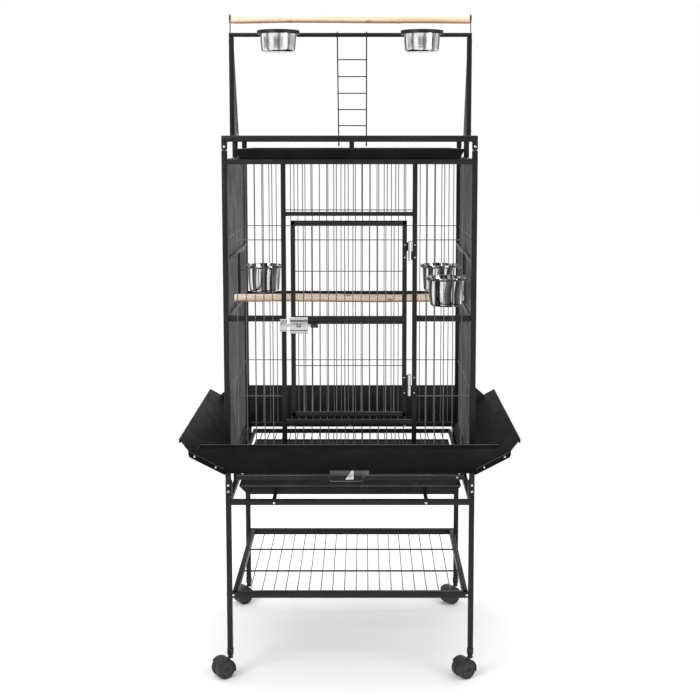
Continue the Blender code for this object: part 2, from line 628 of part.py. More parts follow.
def make_arch_side(name, side):
    """An upright with a tapering wire screen behind it, standing on the play top's side rail."""
    low = DECK_TOP + GAP
    half = ARCH_TUBE / 2
    x = sorted((side * HALF_W, side * (HALF_W - ARCH_TUBE)))
    post = blocks(name, [((x[0], ARCH_Y - half, low), (x[1], ARCH_Y + half, ARCH_TOP))])
    bar = SCREEN_BAR
    start = ARCH_Y + half
    rise = ARCH_TOP - low
    slope = (ARCH_BACK_LOW - ARCH_BACK_TOP) / rise

    def back_edge(z):
        return ARCH_BACK_LOW - slope * (z - low)

    rings = [
        [(start - BITE, low), (back_edge(low), low), (back_edge(ARCH_TOP), ARCH_TOP),
         (start - BITE, ARCH_TOP)],
        [(start + BITE, low + bar), (back_edge(low + bar) - bar, low + bar),
         (back_edge(ARCH_TOP - bar) - bar, ARCH_TOP - bar), (start + BITE, ARCH_TOP - bar)],
    ]
    middle = side * (HALF_W - ARCH_TUBE / 2)
    screen = outline("screen", "YZ", rings, middle - SCREEN_HALF, middle + SCREEN_HALF)
    wires = []
    for y in spread(start, back_edge(low) - bar):
        top = min(ARCH_TOP - bar, low + (ARCH_BACK_LOW - bar - y) / slope) + SCREEN_BITE
        wires.append((
            (middle - WIRE / 2, y - WIRE / 2, low + bar - BITE), (middle + WIRE / 2, y + WIRE / 2, top),
        ))
    return weld(post, screen, blocks("wires", wires))


def make_perch_bracket(name, side):
    """The washer at a perch end and the strap that holds it up from the crossbar."""
    x = (side * (HALF_W - BRACKET_IN), side * (HALF_W - BRACKET_OUT))
    disc = cylinder(name, BRACKET_R, (x[0], ARCH_Y, PERCH_Z), (x[1], ARCH_Y, PERCH_Z), 16)
    low = BAR_Z + BAR_R + GAP
    span = sorted(x)
    strap = blocks("strap", [((span[0] + STRAP_TRIM, ARCH_Y - STRAP_HALF, low),
                              (span[1] - STRAP_TRIM, ARCH_Y + STRAP_HALF, PERCH_Z))])
    return weld(disc, strap)


def make_perch(name, half_left, half_right, y, z, radius, bow):
    count = 9
    points = []
    for i in range(count):
        share = i / (count - 1)
        points.append((half_left + (half_right - half_left) * share, y, z + bow * math.sin(math.pi * share)))
    return tube(name, points, radius, 2)


def make_ladder():
    """Two hooked rails and round rungs; it hangs on the crossbar and leans back."""
    hook_r = BAR_R + GAP + LADDER_R
    drop = BAR_Z - LADDER_FOOT_Z
    lean = math.atan2(LADDER_FOOT_Y - ARCH_Y, drop)
    arc = [lean + math.pi * i / 6 for i in range(7)]
    hook = [(ARCH_Y + hook_r * math.cos(a), BAR_Z + hook_r * math.sin(a)) for a in arc]
    start_y, start_z = hook[0]
    length = (start_z - LADDER_FOOT_Z - LADDER_FOOT_CLEAR) / math.cos(lean)
    foot = (start_y + length * math.sin(lean), start_z - length * math.cos(lean))
    rails = []
    for i, x in enumerate((LADDER_LEFT, LADDER_RIGHT)):
        rails.append(tube(f"rail{i}", [(x, y, z) for y, z in [foot] + hook], LADDER_R, 1))
    rungs = []
    for i in range(RUNGS):
        z = RUNG_TOP_Z - RUNG_DROP * i
        y = start_y + (start_z - z) * math.tan(lean)
        rungs.append(cylinder(f"rung{i}", RUNG_R, (LADDER_LEFT, y, z), (LADDER_RIGHT, y, z), 6))
    ladder = weld(rails[0], *rungs, rails[1])
    ladder.name = "ladder"
    return pivot(ladder, (0, ARCH_Y, BAR_Z))


def make_top_ring(name, side):
    """The band that holds a play-top cup, with the clip that hooks over the crossbar."""
    centre = (side * TOP_CUP_X, TOP_CUP_Y)
    ring = cup_ring(name, centre, TOP_CUP_RIM_Z)
    top = TOP_CUP_RIM_Z - RIM_TALL - GAP
    bar_front = ARCH_Y - BAR_R - GAP
    x = centre[0]
    back, over = bar_front - CLIP_SHEET, BAR_Z + BAR_R + GAP
    clip = blocks("clip", [(
        (x - CLIP_HALF, back, top - CLIP_DOWN), (x + CLIP_HALF, bar_front, over + CLIP_SHEET),
    )])
    lip = blocks("lip", [((x - CLIP_HALF, back, over), (x + CLIP_HALF, ARCH_Y + BAR_R, over + CLIP_SHEET))])
    arm = blocks("arm", [((x - CLIP_ARM_HALF, centre[1] + CUP_TOP_R + ARM_IN, top - RING_TALL + ARM_TRIM),
                          (x + CLIP_ARM_HALF, bar_front - CLIP_SHEET / 2, top - ARM_TRIM))])
    return weld(ring, arm, clip, lip)


# ------------------------------------------------------------------ trays, grate, guards
def pan(name, half_x, front, back, slope_x, slope_y, floor_z, rim_z):
    """A sheet tray with sloping walls, made as an open surface and thickened inwards."""
    bm = bmesh.new()
    low = [bm.verts.new(p) for p in (
        (-half_x + slope_x, front + slope_y, floor_z), (half_x - slope_x, front + slope_y, floor_z),
        (half_x - slope_x, back - slope_y, floor_z), (-half_x + slope_x, back - slope_y, floor_z))]
    high = [bm.verts.new(p) for p in (
        (-half_x, front, rim_z), (half_x, front, rim_z), (half_x, back, rim_z), (-half_x, back, rim_z))]
    bm.faces.new(low[::-1])
    for i in range(4):
        j = (i + 1) % 4
        bm.faces.new((low[i], low[j], high[j], high[i]))
    obj = from_bmesh(name, bm)
    skin = obj.modifiers.new("sheet", "SOLIDIFY")
    skin.thickness = SHEET
    skin.offset = -1
    return pivot_baked(mesh_of(obj), (0, front, floor_z))


def make_runner(name, side):
    """A strap from the front cross tube to the back one; its front end folds down over the tube."""
    brace_top = BRACE_LOW + TUBE
    low, high = brace_top + GAP, brace_top + GAP + RUNNER_THICK
    front = FRONT - GAP
    section = [
        (HALF_D, low), (HALF_D, high), (front - RUNNER_THICK, high),
        (front - RUNNER_THICK, BRACE_LOW + STRAP_FOLD), (front, BRACE_LOW + STRAP_FOLD), (front, low),
    ]
    x = side * RUNNER_X
    return outline(name, "YZ", [section], x - RUNNER_WIDE / 2, x + RUNNER_WIDE / 2)


def make_grate():
    front, back = FRONT + GRATE_IN, TRAY_BACK
    top = GRATE_LOW + GRATE_TALL
    rings = [
        rectangle(-GRATE_HALF, front, GRATE_HALF, back),
        rectangle(-GRATE_HALF + GRATE_BAR, front + GRATE_FRONT_BAR, GRATE_HALF - GRATE_BAR, back - GRATE_BAR),
    ]
    frame = outline("grate", "XY", rings, GRATE_LOW, top)
    z = top - GRATE_WIRE_DOWN
    y = (front + GRATE_FRONT_BAR - BITE, back - GRATE_BAR + BITE)
    wires = [((x - WIRE / 2, y[0], z - WIRE / 2), (x + WIRE / 2, y[1], z + WIRE / 2))
             for x in spread(-GRATE_HALF + GRATE_BAR, GRATE_HALF - GRATE_BAR)]
    cross_top = z - WIRE / 2 + BITE
    cross = [((-GRATE_HALF + GRATE_BAR - BITE, -WIRE, cross_top - 2 * WIRE),
              (GRATE_HALF - GRATE_BAR + BITE, WIRE, cross_top))]
    grate = weld(frame, blocks("wires", wires), blocks("cross", cross))
    return pivot(grate, (0, front, GRATE_LOW))


def make_grate_handle():
    left, right, bend = HANDLE_LEFT, HANDLE_RIGHT, HANDLE_BEND
    start = FRONT + GRATE_IN - GAP
    end = start - HANDLE_OUT
    z = GRATE_LOW + HANDLE_UP
    low = z - HANDLE_DROP
    turn = [math.radians(a) for a in (0, 30, 60, 90)]
    points = [(left, start, z)]
    points += [(left + bend - bend * math.cos(a), end + bend - bend * math.sin(a), low) for a in turn]
    points += [(right - bend + bend * math.sin(a), end + bend - bend * math.cos(a), low) for a in turn]
    points.append((right, start, z))
    return tube("grate_handle", points, HANDLE_R, 1)


def make_grate_latch():
    """The small turning hook in front of the grate's rail."""
    front = FRONT - CATCH_STAND
    z = GRATE_LOW + CATCH_UP
    hook = [(x, z + up) for x, up in CATCH_HOOK]
    plate = outline("grate_latch", "XZ", [hook], front - CATCH_SHEET, front)
    stud_back, stud_front = FRONT + GRATE_IN - GAP, front - CATCH_SHEET - CATCH_HEAD
    stud = cylinder("stud", CATCH_STUD_R, (0, stud_back, z), (0, stud_front, z), 10)
    return pivot(weld(plate, stud), (0, front, z))


def guard(name, half, face, turn):
    """A sloping seed guard: flange on the base rail, sheet, folded rim and corner joint flanges.

    It is built for the front, with half its length along X, and turned about Z to its side.
    """
    rise = math.hypot(GUARD_OUT, GUARD_RISE)
    base = face + GAP
    tilt = math.atan2(GUARD_RISE, GUARD_OUT)

    def along(out):
        return out / GUARD_OUT * rise

    inset = MITRE_GAP
    tip = half + GUARD_MITRE - inset
    shape = [
        (-half + inset, 0), (half - inset, 0), (tip, along(GUARD_MITRE)),
        (half + GUARD_PAST, along(GUARD_OUT)), (-half - GUARD_PAST, along(GUARD_OUT)),
        (-tip, along(GUARD_MITRE)),
    ]
    sheet = outline(name, "XY", [shape], 0, SHEET)
    foot = -base - SHEET * math.sin(tilt) - GAP / 2
    place = Matrix.Translation((0, foot, GUARD_LOW)) @ Matrix.Rotation(math.pi, 4, "Z")
    sheet.data.transform(place @ Matrix.Rotation(tilt, 4, "X"))
    flange = blocks("flange", [((-half + inset, -base - SHEET, GUARD_LOW - GUARD_FLANGE),
                                (half - inset, -base, GUARD_LOW + SHEET))])
    rim_y, rim_z = -base - GUARD_OUT, GUARD_LOW + GUARD_RISE
    past = half + GUARD_PAST
    lip = blocks("lip", [((-past, rim_y - LIP_OUT, rim_z - LIP), (past, rim_y + SHEET, rim_z + SHEET / 2))])
    made = weld(sheet, flange, lip)
    made.data.transform(Matrix.Rotation(math.radians(turn), 4, "Z"))
    return made


def make_guards():
    return [
        guard("seed_guard_front", HALF_W, HALF_D, 0), guard("seed_guard_right", HALF_D, HALF_W, 90),
        guard("seed_guard_back", HALF_W, HALF_D, 180), guard("seed_guard_left", HALF_D, HALF_W, 270),
    ]


# ------------------------------------------------------------------ stand
def make_leg_frame(name, low, high):
    """Two legs, the cross tube between them, and the tongues that join them to the cage posts."""
    brace_top = BRACE_LOW + TUBE
    tongue_out = POST_IN_X - GAP
    tongue_in = tongue_out - TONGUE_SHEET
    tongue_low, tongue_top = LEG_TOP - TONGUE_HALF, LEG_TOP + TONGUE_HALF
    half = [
        (POST_IN_X, brace_top), (POST_IN_X, tongue_low), (tongue_in, tongue_low), (tongue_in, tongue_top),
        (tongue_out, tongue_top), (tongue_out, LEG_TOP), (HALF_W, LEG_TOP), (HALF_W, LEG_FOOT),
        (POST_IN_X, LEG_FOOT), (POST_IN_X, BRACE_LOW),
    ]
    return outline(name, "XZ", [half + [(-x, z) for x, z in reversed(half)]], low, high)


def make_side_brace(name, side):
    x = sorted((side * HALF_W, side * POST_IN_X))
    return blocks(name, [((x[0], -PANEL_END, BRACE_LOW), (x[1], PANEL_END, BRACE_LOW + TUBE))])


def make_shelf():
    half = POST_IN_X - GAP
    rings = [
        rectangle(-half, FRONT, half, HALF_D),
        rectangle(-half + TUBE, FRONT + SHELF_TUBE, half - TUBE, HALF_D - SHELF_TUBE),
    ]
    frame = outline("shelf", "XY", rings, SHELF_LOW, SHELF_TOP)
    z = SHELF_TOP - SHELF_WIRE_DOWN
    reach = HALF_D - SHELF_TUBE + BITE
    wires = [((x - WIRE / 2, -reach, z - WIRE / 2), (x + WIRE / 2, reach, z + WIRE / 2))
             for x in spread(-half + TUBE, half - TUBE, SHELF_PITCH)]
    long_top = z - WIRE / 2 + BITE
    across = half - TUBE + BITE
    long_wires = [((-across, y - WIRE, long_top - 2 * WIRE), (across, y + WIRE, long_top))
                  for y in (-DEPTH / 6, DEPTH / 6)]
    return weld(frame, blocks("wires", wires), blocks("long", long_wires))


# ------------------------------------------------------------------ casters
def make_caster(corner, x, y):
    """Socket, swivelling body with its hood, and a pair of wheels on one axle."""
    turn = Matrix.Translation((x, y, 0)) @ Matrix.Rotation(math.radians(CASTER_TURN[corner]), 4, "Z")
    web_half = WEB_WIDE / 2
    wheel_in = web_half + WHEEL_FREE
    half = wheel_in + WHEEL_WIDE
    hub = (TRAIL, WHEEL_R)

    def arc(radius, angles):
        return [(hub[0] + radius * math.cos(a), hub[1] + radius * math.sin(a)) for a in angles]

    def column(name, x, low, high, trim):
        side = web_half - trim
        return blocks(name, [((TRAIL + x[0], -side, WHEEL_R + low), (TRAIL + x[1], side, high))])

    angles = [math.radians(a) for a in range(HOOD_TO, HOOD_FROM - 1, -20)]
    hood_in = WHEEL_R + HOOD_FREE
    hood = arc(hood_in + HOOD_SHEET, angles) + arc(hood_in, angles[::-1])
    body = outline(f"caster_body_{corner}", "XZ", [hood], -half, half)
    web_rings = [circle(WHEEL_R - WEB_DOWN, 14, hub), circle(AXLE_R + AXLE_FREE, 8, hub)]
    web = outline("web", "XZ", web_rings, -web_half, web_half)
    stem = cylinder("stem", STEM_R, (0, 0, STEM_LOW), (0, 0, STEM_TOP), 12)
    neck = column("neck", NECK_X, NECK_FROM, WHEEL_R + NECK_TO, NECK_TRIM)
    riser = column("riser", RISER_X, RISER_FROM, STEM_LOW + STEM_BITE, RISER_TRIM)
    body = weld(body, web, neck, riser, stem)
    axle_half = half - AXLE_SHORT
    axle = cylinder(
        f"caster_wheels_{corner}", AXLE_R, (TRAIL, -axle_half, WHEEL_R), (TRAIL, axle_half, WHEEL_R), 8)
    wheels = [
        cylinder(f"wheel{way}", WHEEL_R, (TRAIL, way * wheel_in, WHEEL_R), (TRAIL, way * half, WHEEL_R),
                 WHEEL_SIDES)
        for way in (-1, 1)]
    wheels = weld(axle, *wheels)
    socket = cylinder(f"caster_socket_{corner}", SOCKET_R, (x, y, STEM_TOP + GAP), (x, y, LEG_FOOT - GAP), 12)
    for part in (body, wheels):
        part.data.transform(turn)
    pivot(body, (x, y, WHEEL_R))
    pivot(wheels, turn @ Vector((TRAIL, 0, WHEEL_R)))
    return [socket, body, wheels]


# ------------------------------------------------------------------ assembly
def build():
    made = {"black_steel": [], "black_sheet": [], "stainless": [], "zinc": [], "wood": [],
            "black_plastic": [], "tyre": []}
    steel = made["black_steel"]
    steel += [make_front_panel(), make_back_panel()]
    steel += [make_side_panel("left_panel", -1, (1,)), make_side_panel("right_panel", 1, (-1, 1))]
    steel += [make_roof_grille(), make_door()]
    made["zinc"] += make_hinge_pins()
    made["zinc"] += make_latch()
    feeders = (
        ("left_back", -1, 1, LEFT_CUP_PAST), ("right_front", 1, -1, RIGHT_CUP_PAST),
        ("right_back", 1, 1, RIGHT_CUP_PAST),
    )
    for spot, side, way, past in feeders:
        cup_y = way * (FEEDER_MIDDLE + past)
        steel.append(make_feeder_door(f"feeder_door_{spot}", side, way, cup_y))
        made["stainless"].append(make_cup(
            f"feeder_cup_{spot}", (side * FEEDER_CUP_X, cup_y),
            FEED_CUP_RIM_Z, FEED_CUP_TALL, FEED_CUP_BASE_R))
    steel.append(make_deck())
    for word, side in (("left", -1), ("right", 1)):
        steel.append(make_arch_side(f"playtop_side_{word}", side))
        steel.append(make_perch_bracket(f"perch_bracket_{word}", side))
        steel.append(make_top_ring(f"top_cup_ring_{word}", side))
        made["stainless"].append(make_cup(
            f"top_cup_{word}", (side * TOP_CUP_X, TOP_CUP_Y), TOP_CUP_RIM_Z, TOP_CUP_TALL, TOP_CUP_BASE_R))
        steel.append(make_side_brace(f"stand_side_rail_{word}", side))
        steel.append(make_runner(f"tray_runner_{word}", side))
    steel.append(cylinder("playtop_crossbar", BAR_R, (-HALF_W, ARCH_Y, BAR_Z), (HALF_W, ARCH_Y, BAR_Z), 12))
    steel.append(make_ladder())
    end = HALF_W - BRACKET_IN - GAP
    made["wood"].append(make_perch("playtop_perch", -end, end, ARCH_Y, PERCH_Z, PERCH_R, PERCH_BOW))
    wire_face = HALF_W - WIRE_IN - WIRE / 2
    made["wood"].append(make_perch(
        "inner_perch", -(wire_face - GAP), HALF_W - TUBE - GAP,
        INNER_PERCH_Y, INNER_PERCH_Z, INNER_PERCH_R, 0.0))
    made["black_sheet"] += make_guards()
    made["black_sheet"].append(pan(
        "debris_tray", TRAY_HALF, TRAY_FRONT, TRAY_BACK, TRAY_SLOPE_X, TRAY_SLOPE_Y,
        TRAY_FLOOR_Z, TRAY_RIM_Z))
    made["black_sheet"].append(pan(
        "top_tray", TRAY_HALF, FRONT + GRATE_IN, TRAY_BACK, TOP_TRAY_SLOPE, TOP_TRAY_SLOPE,
        TOP_TRAY_FLOOR_Z, TOP_TRAY_RIM_Z))
    steel += [make_grate(), make_grate_handle()]
    made["zinc"].append(make_grate_latch())
    steel.append(make_leg_frame("stand_front_frame", FRONT, FRONT + TUBE))
    steel.append(make_leg_frame("stand_back_frame", HALF_D - TUBE, HALF_D))
    steel.append(make_shelf())
    for corner in CASTER_TURN:
        x = (HALF_W - TUBE / 2) * (1 if "right" in corner else -1)
        y = (HALF_D - TUBE / 2) * (1 if "back" in corner else -1)
        socket, body, wheels = make_caster(corner, x, y)
        made["black_plastic"] += [socket, body]
        made["tyre"].append(wheels)
    for kind, pieces in made.items():
        for piece in pieces:
            paint(piece, kind)


clear_scene()
CAGE = collection("bird_cage_on_stand")
build()
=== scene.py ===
"""A play-top bird cage on a wheeled stand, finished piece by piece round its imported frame.

Metres, +Z up. The door side faces -Y and the floor is at Z = 0.
"""

import math

import bpy
from mathutils import Matrix, Vector


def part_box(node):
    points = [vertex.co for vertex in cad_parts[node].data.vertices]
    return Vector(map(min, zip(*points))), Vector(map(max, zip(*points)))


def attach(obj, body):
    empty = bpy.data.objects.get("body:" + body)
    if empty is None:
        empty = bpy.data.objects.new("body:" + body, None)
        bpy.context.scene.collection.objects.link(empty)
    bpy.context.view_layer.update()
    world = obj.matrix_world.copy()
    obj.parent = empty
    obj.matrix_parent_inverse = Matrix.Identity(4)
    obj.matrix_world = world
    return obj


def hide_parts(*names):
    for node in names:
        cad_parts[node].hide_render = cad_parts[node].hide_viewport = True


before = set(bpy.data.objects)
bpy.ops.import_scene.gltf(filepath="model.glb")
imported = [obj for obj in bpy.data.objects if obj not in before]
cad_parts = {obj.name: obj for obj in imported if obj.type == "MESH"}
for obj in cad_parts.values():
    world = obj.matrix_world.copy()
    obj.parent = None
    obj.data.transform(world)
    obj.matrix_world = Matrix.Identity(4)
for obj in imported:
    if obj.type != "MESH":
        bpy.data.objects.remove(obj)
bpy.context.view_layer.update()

# ------------------------------------------------------------------ sizes read from the frame
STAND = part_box("stand_front_frame")
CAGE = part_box("left_panel")
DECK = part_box("playtop_frame")
HALF_W = STAND[1].x
FRONT, BACK = STAND[0].y, -STAND[0].y
TUBE = STAND[1].y - STAND[0].y
LEG_FOOT = STAND[0].z
LEG_TOP = STAND[1].z - 0.020  # where the legs meet the cage's posts
BRACE_LOW, BRACE_TOP = (corner.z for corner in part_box("stand_side_rail_left"))
SHELF_LOW, SHELF_TOP = (corner.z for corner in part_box("shelf"))
POST_FOOT, POST_TOP = (corner.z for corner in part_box("back_panel"))
ROOF_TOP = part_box("roof_grille")[1].z
DECK_TOP = DECK[1].z
ARCH_FOOT, ARCH_TOP = (corner.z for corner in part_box("playtop_side_left"))
IN_X, IN_Y = HALF_W - TUBE, BACK - TUBE

# ------------------------------------------------------------------ sizes that the frame doesn't give
MERGE = 0.00001  # corners nearer than this are one corner
GAP = 0.0003  # running room between parts that move
BITE = 0.0006  # how far a welded part reaches into its neighbour
WIRE = 0.0024
PITCH = 0.0212
WIRE_IN = 0.0045
RAIL_IN = WIRE_IN + WIRE / 2 - BITE
SHELF_PITCH = 0.0315
CORNER = 0.0013  # outer corner radius of the square tube
BASE_LOW, BASE_TOP = 0.545, 0.559
MID_LOW, MID_TOP = 0.941, 0.956
ROOF_LOW = 1.341
DECK_LOW = 1.397
ROUND_WIRES = (0.748, 1.150)  # heights of the wires that run round the cage

JAMB = 0.012
OPENING_LEFT, OPENING_RIGHT = -0.162, 0.159
SILL_LOW, SILL_TOP = 0.673, 0.686
TRANSOM_LOW, TRANSOM_TOP = 1.211, 1.221
TRANSOM_WIRE = 1.2262
DOOR_LEFT, DOOR_RIGHT, DOOR_LOW, DOOR_HIGH = -0.150, 0.145, 0.695, 1.199
DOOR_BAR, DOOR_DEEP = 0.0115, 0.012
DOOR_WIRES = (0.827, 1.070, 1.150)
HINGE_X, HINGE_Y = (DOOR_RIGHT + OPENING_RIGHT) / 2, FRONT - 0.003
HINGE_SPANS = ((1.099, 1.145), (0.750, 0.804))
KNUCKLE_IN, KNUCKLE_OUT = 0.0023, 0.0045
LEAF_FRONT = FRONT - 0.0018
LEAF_SCREW_IN, LEAF_SCREW_R = 0.007, 0.0022
LATCH_Z = 0.932
LATCH_BACK = FRONT - 0.0022  # the back of the sliding bolt and of the grate's hook
LATCH_BOX, LATCH_WALL, LATCH_PLATE = 0.0092, 0.0012, 0.0010
# where the painted shadow strips along the latch's box sit, and half their height
LATCH_SHADOW_Z, LATCH_SHADOW_TALL = 0.0121, 0.0013
KNOB_R, KNOB_LONG = 0.0052, 0.0180

FEEDER_RAIL_LOW, FEEDER_RAIL_TOP = 1.091, 1.101
FEEDER_NEAR, FEEDER_FAR = 0.056, 0.256
FEEDER_BAR = 0.005
FEEDERS = {"left_back": (-1, 1), "right_front": (1, -1), "right_back": (1, 1)}
CUP_RIM_R, CUP_TOP_R, CUP_SHEET, RIM_TALL = 0.054, 0.0475, 0.0008, 0.0035
RING_IN, RING_OUT, RING_TALL = 0.0487, 0.0517, 0.0040
COLLAR_TALL = 0.0098

ARCH_Y, ARCH_TUBE = -0.062, 0.013
ARCH_BACK_LOW, ARCH_BACK_TOP, ARCH_BAR = 0.090, -0.030, 0.006
BAR_R = 0.0056
BAR_Z = ARCH_TOP + GAP + BAR_R
PERCH_Z, PERCH_R = 1.721, 0.009
INNER_PERCH_Y, INNER_PERCH_Z, INNER_PERCH_R = -0.050, 0.9745, 0.010
LADDER_X = (-0.035, 0.043)
LADDER_FOOT = Vector((0, 0.120, 1.3845))
LADDER_R = 0.0015
RUNG_TOP_Z, RUNG_DROP, RUNGS = 1.617, 0.0438, 6

SHEET = 0.0012
GUARD_LOW, GUARD_OUT, GUARD_RISE = 0.556, 0.110, 0.0925
GUARD_MITRE, GUARD_PAST, LIP, FLANGE = 0.082, 0.050, 0.010, 0.010
GUARD_SLOPE = GUARD_RISE / GUARD_OUT
GUARD_ROOT = -BACK - GAP - SHEET * 0.64
CORNER_FLANGE = 0.016
# radius of the pale wire along each guard's rim, a painted highlight
RIM_HIGHLIGHT_R = 0.0007
GRATE_LOW, GRATE_HALF, GRATE_BAR = 0.528, 0.296, 0.008
RUNNER_X = 0.197
WHEEL_R, WHEEL_WIDE, WEB_WIDE, TRAIL = 0.025, 0.0165, 0.0090, 0.022
CASTER_TURN = -146  # degrees, the way all four trail at rest
STEM_TOP = 0.0585
HOOD_WALL = 0.0016
FACING_FRONT = (0, -1, 0)


# ------------------------------------------------------------------ shader building blocks
def put(tree, kind, inputs=None, **settings):
    """Adds a node. inputs gives its sockets numbers, colours or other nodes' outputs."""
    made = tree.nodes.new("ShaderNode" + kind)
    for key, value in settings.items():
        setattr(made, key, value)
    for key, value in (inputs or {}).items():
        socket = made.inputs[key]
        if isinstance(value, bpy.types.NodeSocket):
            tree.links.new(value, socket)
        else:
            socket.default_value = value
    return made


def maths(tree, operation, *values, clamp=False):
    made = put(tree, "Math", dict(enumerate(values)), operation=operation, use_clamp=clamp)
    return made.outputs[0]


def blend_colour(tree, share, first, second, way="MIX"):
    mix = put(tree, "Mix", {0: share, 6: first, 7: second}, data_type="RGBA", blend_type=way)
    return mix.outputs[2]


def ramp(tree, value, low, high, out_low=0.0, out_high=1.0):
    made = put(tree, "MapRange", {0: value, 1: low, 2: high, 3: out_low, 4: out_high})
    made.interpolation_type = "SMOOTHSTEP"
    return made.outputs[0]


def noise(tree, place, scale, detail=2.0, stretch=(1, 1, 1), distort=0.0):
    spot = put(tree, "Mapping", {"Vector": place, "Scale": stretch})
    made = put(tree, "TexNoise", {
        "Vector": spot.outputs[0], "Scale": scale, "Detail": detail, "Distortion": distort})
    return made.outputs["Fac"]


def new_group(name, inputs, outputs):
    """An empty node group. inputs: name to default number; outputs: name to socket type."""
    tree = bpy.data.node_groups.new(name, "ShaderNodeTree")
    for label, value in inputs.items():
        socket = tree.interface.new_socket(label, in_out="INPUT", socket_type="NodeSocketFloat")
        socket.default_value = value
    for label, kind in outputs.items():
        tree.interface.new_socket(label, in_out="OUTPUT", socket_type="NodeSocket" + kind)
    start = tree.nodes.new("NodeGroupInput")
    end = tree.nodes.new("NodeGroupOutput")
    place = tree.nodes.new("ShaderNodeTexCoord").outputs["Object"]
    return tree, start.outputs, end.inputs, place


def powder_texture():
    """The fine pebbled skin of baked powder, and the slow drift of its tone."""
    tree, start, end, place = new_group(
        "powder_texture", {"Pebble": 900.0, "Drift": 14.0}, {"Height": "Float", "Tone": "Float"})
    pebble = noise(tree, place, start["Pebble"], 3.0)
    orange_peel = noise(tree, place, maths(tree, "MULTIPLY", start["Pebble"], 0.23), 1.0)
    height = maths(tree, "MULTIPLY_ADD", pebble, 0.65, maths(tree, "MULTIPLY", orange_peel, 0.35))
    drift = noise(tree, place, start["Drift"], 3.0)
    tree.links.new(height, end["Height"])
    tree.links.new(ramp(tree, drift, 0.3, 0.7), end["Tone"])
    return tree


def worn_edges():
    """Where handling has thinned a coat: proud edges, broken up by patches."""
    tree, start, end, place = new_group(
        "worn_edges", {"Sharp": 0.56, "Patch": 45.0}, {"Mask": "Float"})
    proud = put(tree, "NewGeometry").outputs["Pointiness"]
    edge = ramp(tree, proud, start["Sharp"], maths(tree, "ADD", start["Sharp"], 0.08))
    patch = ramp(tree, noise(tree, place, start["Patch"], 4.0, distort=0.6), 0.48, 0.66)
    tree.links.new(maths(tree, "MULTIPLY", edge, patch), end["Mask"])
    return tree


def settled_dust():
    """Fine dust on what faces up, heavier in drifts."""
    tree, start, end, place = new_group(
        "settled_dust", {"Amount": 0.3, "Drifts": 9.0}, {"Mask": "Float"})
    up = put(tree, "SeparateXYZ", {0: put(tree, "NewGeometry").outputs["Normal"]}).outputs["Z"]
    flat = ramp(tree, up, 0.55, 1.0)
    drifts = ramp(tree, noise(tree, place, start["Drifts"], 5.0), 0.32, 0.72, 0.25, 1.0)
    amount = maths(tree, "MULTIPLY", flat, start["Amount"])
    tree.links.new(maths(tree, "MULTIPLY", amount, drifts), end["Mask"])
    return tree


def handling_marks():
    """Smears and short hair scratches that change a surface's gloss."""
    tree, start, end, place = new_group(
        "handling_marks", {"Smear": 22.0, "Scratch": 260.0}, {"Smears": "Float", "Scratches": "Float"})
    smears = noise(tree, place, start["Smear"], 4.0, (1.0, 1.0, 0.35), 1.2)
    lines = noise(tree, place, start["Scratch"], 2.0, (1.0, 0.06, 1.0), 0.3)
    crossing = noise(tree, place, start["Scratch"], 2.0, (0.05, 1.0, 0.6), 0.3)
    scratches = maths(tree, "MAXIMUM", ramp(tree, lines, 0.66, 0.72), ramp(tree, crossing, 0.68, 0.74))
    tree.links.new(ramp(tree, smears, 0.35, 0.7), end["Smears"])
    tree.links.new(scratches, end["Scratches"])
    return tree


def spun_lines():
    """The rings that a lathe or a press leaves round a bright metal wall."""
    tree, start, end, place = new_group(
        "spun_lines", {"Rings": 2600.0, "Ripple": 120.0}, {"Height": "Float", "Haze": "Float"})
    rings = noise(tree, place, start["Rings"], 2.0, (0.01, 0.01, 1.0))
    ripple = noise(tree, place, start["Ripple"], 1.0, (0.25, 0.25, 1.0))
    height = maths(tree, "MULTIPLY_ADD", rings, 0.4, maths(tree, "MULTIPLY", ripple, 0.6))
    tree.links.new(height, end["Height"])
    tree.links.new(ramp(tree, noise(tree, place, 38.0, 4.0, distort=0.8), 0.4, 0.75), end["Haze"])
    return tree


def painted_reflection_bands():
    """Painted reflections: upright stripes of colour round a polished wall, dark steel painted between bright
    strips of room, placed by the turn round the wall.
    """
    tree, start, end, _ = new_group(
        "painted_reflection_bands", {"Share": 0.35, "Edge": 0.25}, {"PaintedLit": "Float", "Depth": "Float"})
    wall = put(tree, "Attribute", attribute_name="round_wall").outputs["Vector"]
    parts = put(tree, "SeparateXYZ", {0: wall}).outputs
    turn = maths(tree, "ARCTAN2", parts["X"], maths(tree, "MULTIPLY", parts["Y"], -1.0))
    waver = maths(tree, "MULTIPLY", maths(tree, "SINE", maths(tree, "MULTIPLY", parts["Z"], 4.0)), 0.45)

    def swing(count, start_at, depth):
        angle = maths(tree, "ADD", maths(tree, "MULTIPLY_ADD", turn, count, start_at), waver)
        return maths(tree, "MULTIPLY", maths(tree, "COSINE", angle), depth)

    uneven = maths(tree, "ADD", swing(3.0, 0.7, 0.35), swing(17.0, 0.0, 0.2))
    level = maths(tree, "ADD", swing(10.0, 2.44, 1.0), uneven)
    lit = ramp(tree, level, start["Share"], maths(tree, "ADD", start["Share"], start["Edge"]))
    tree.links.new(lit, end["PaintedLit"])
    tree.links.new(ramp(tree, swing(5.0, 1.0, 1.0), -0.8, 0.9), end["Depth"])
    return tree


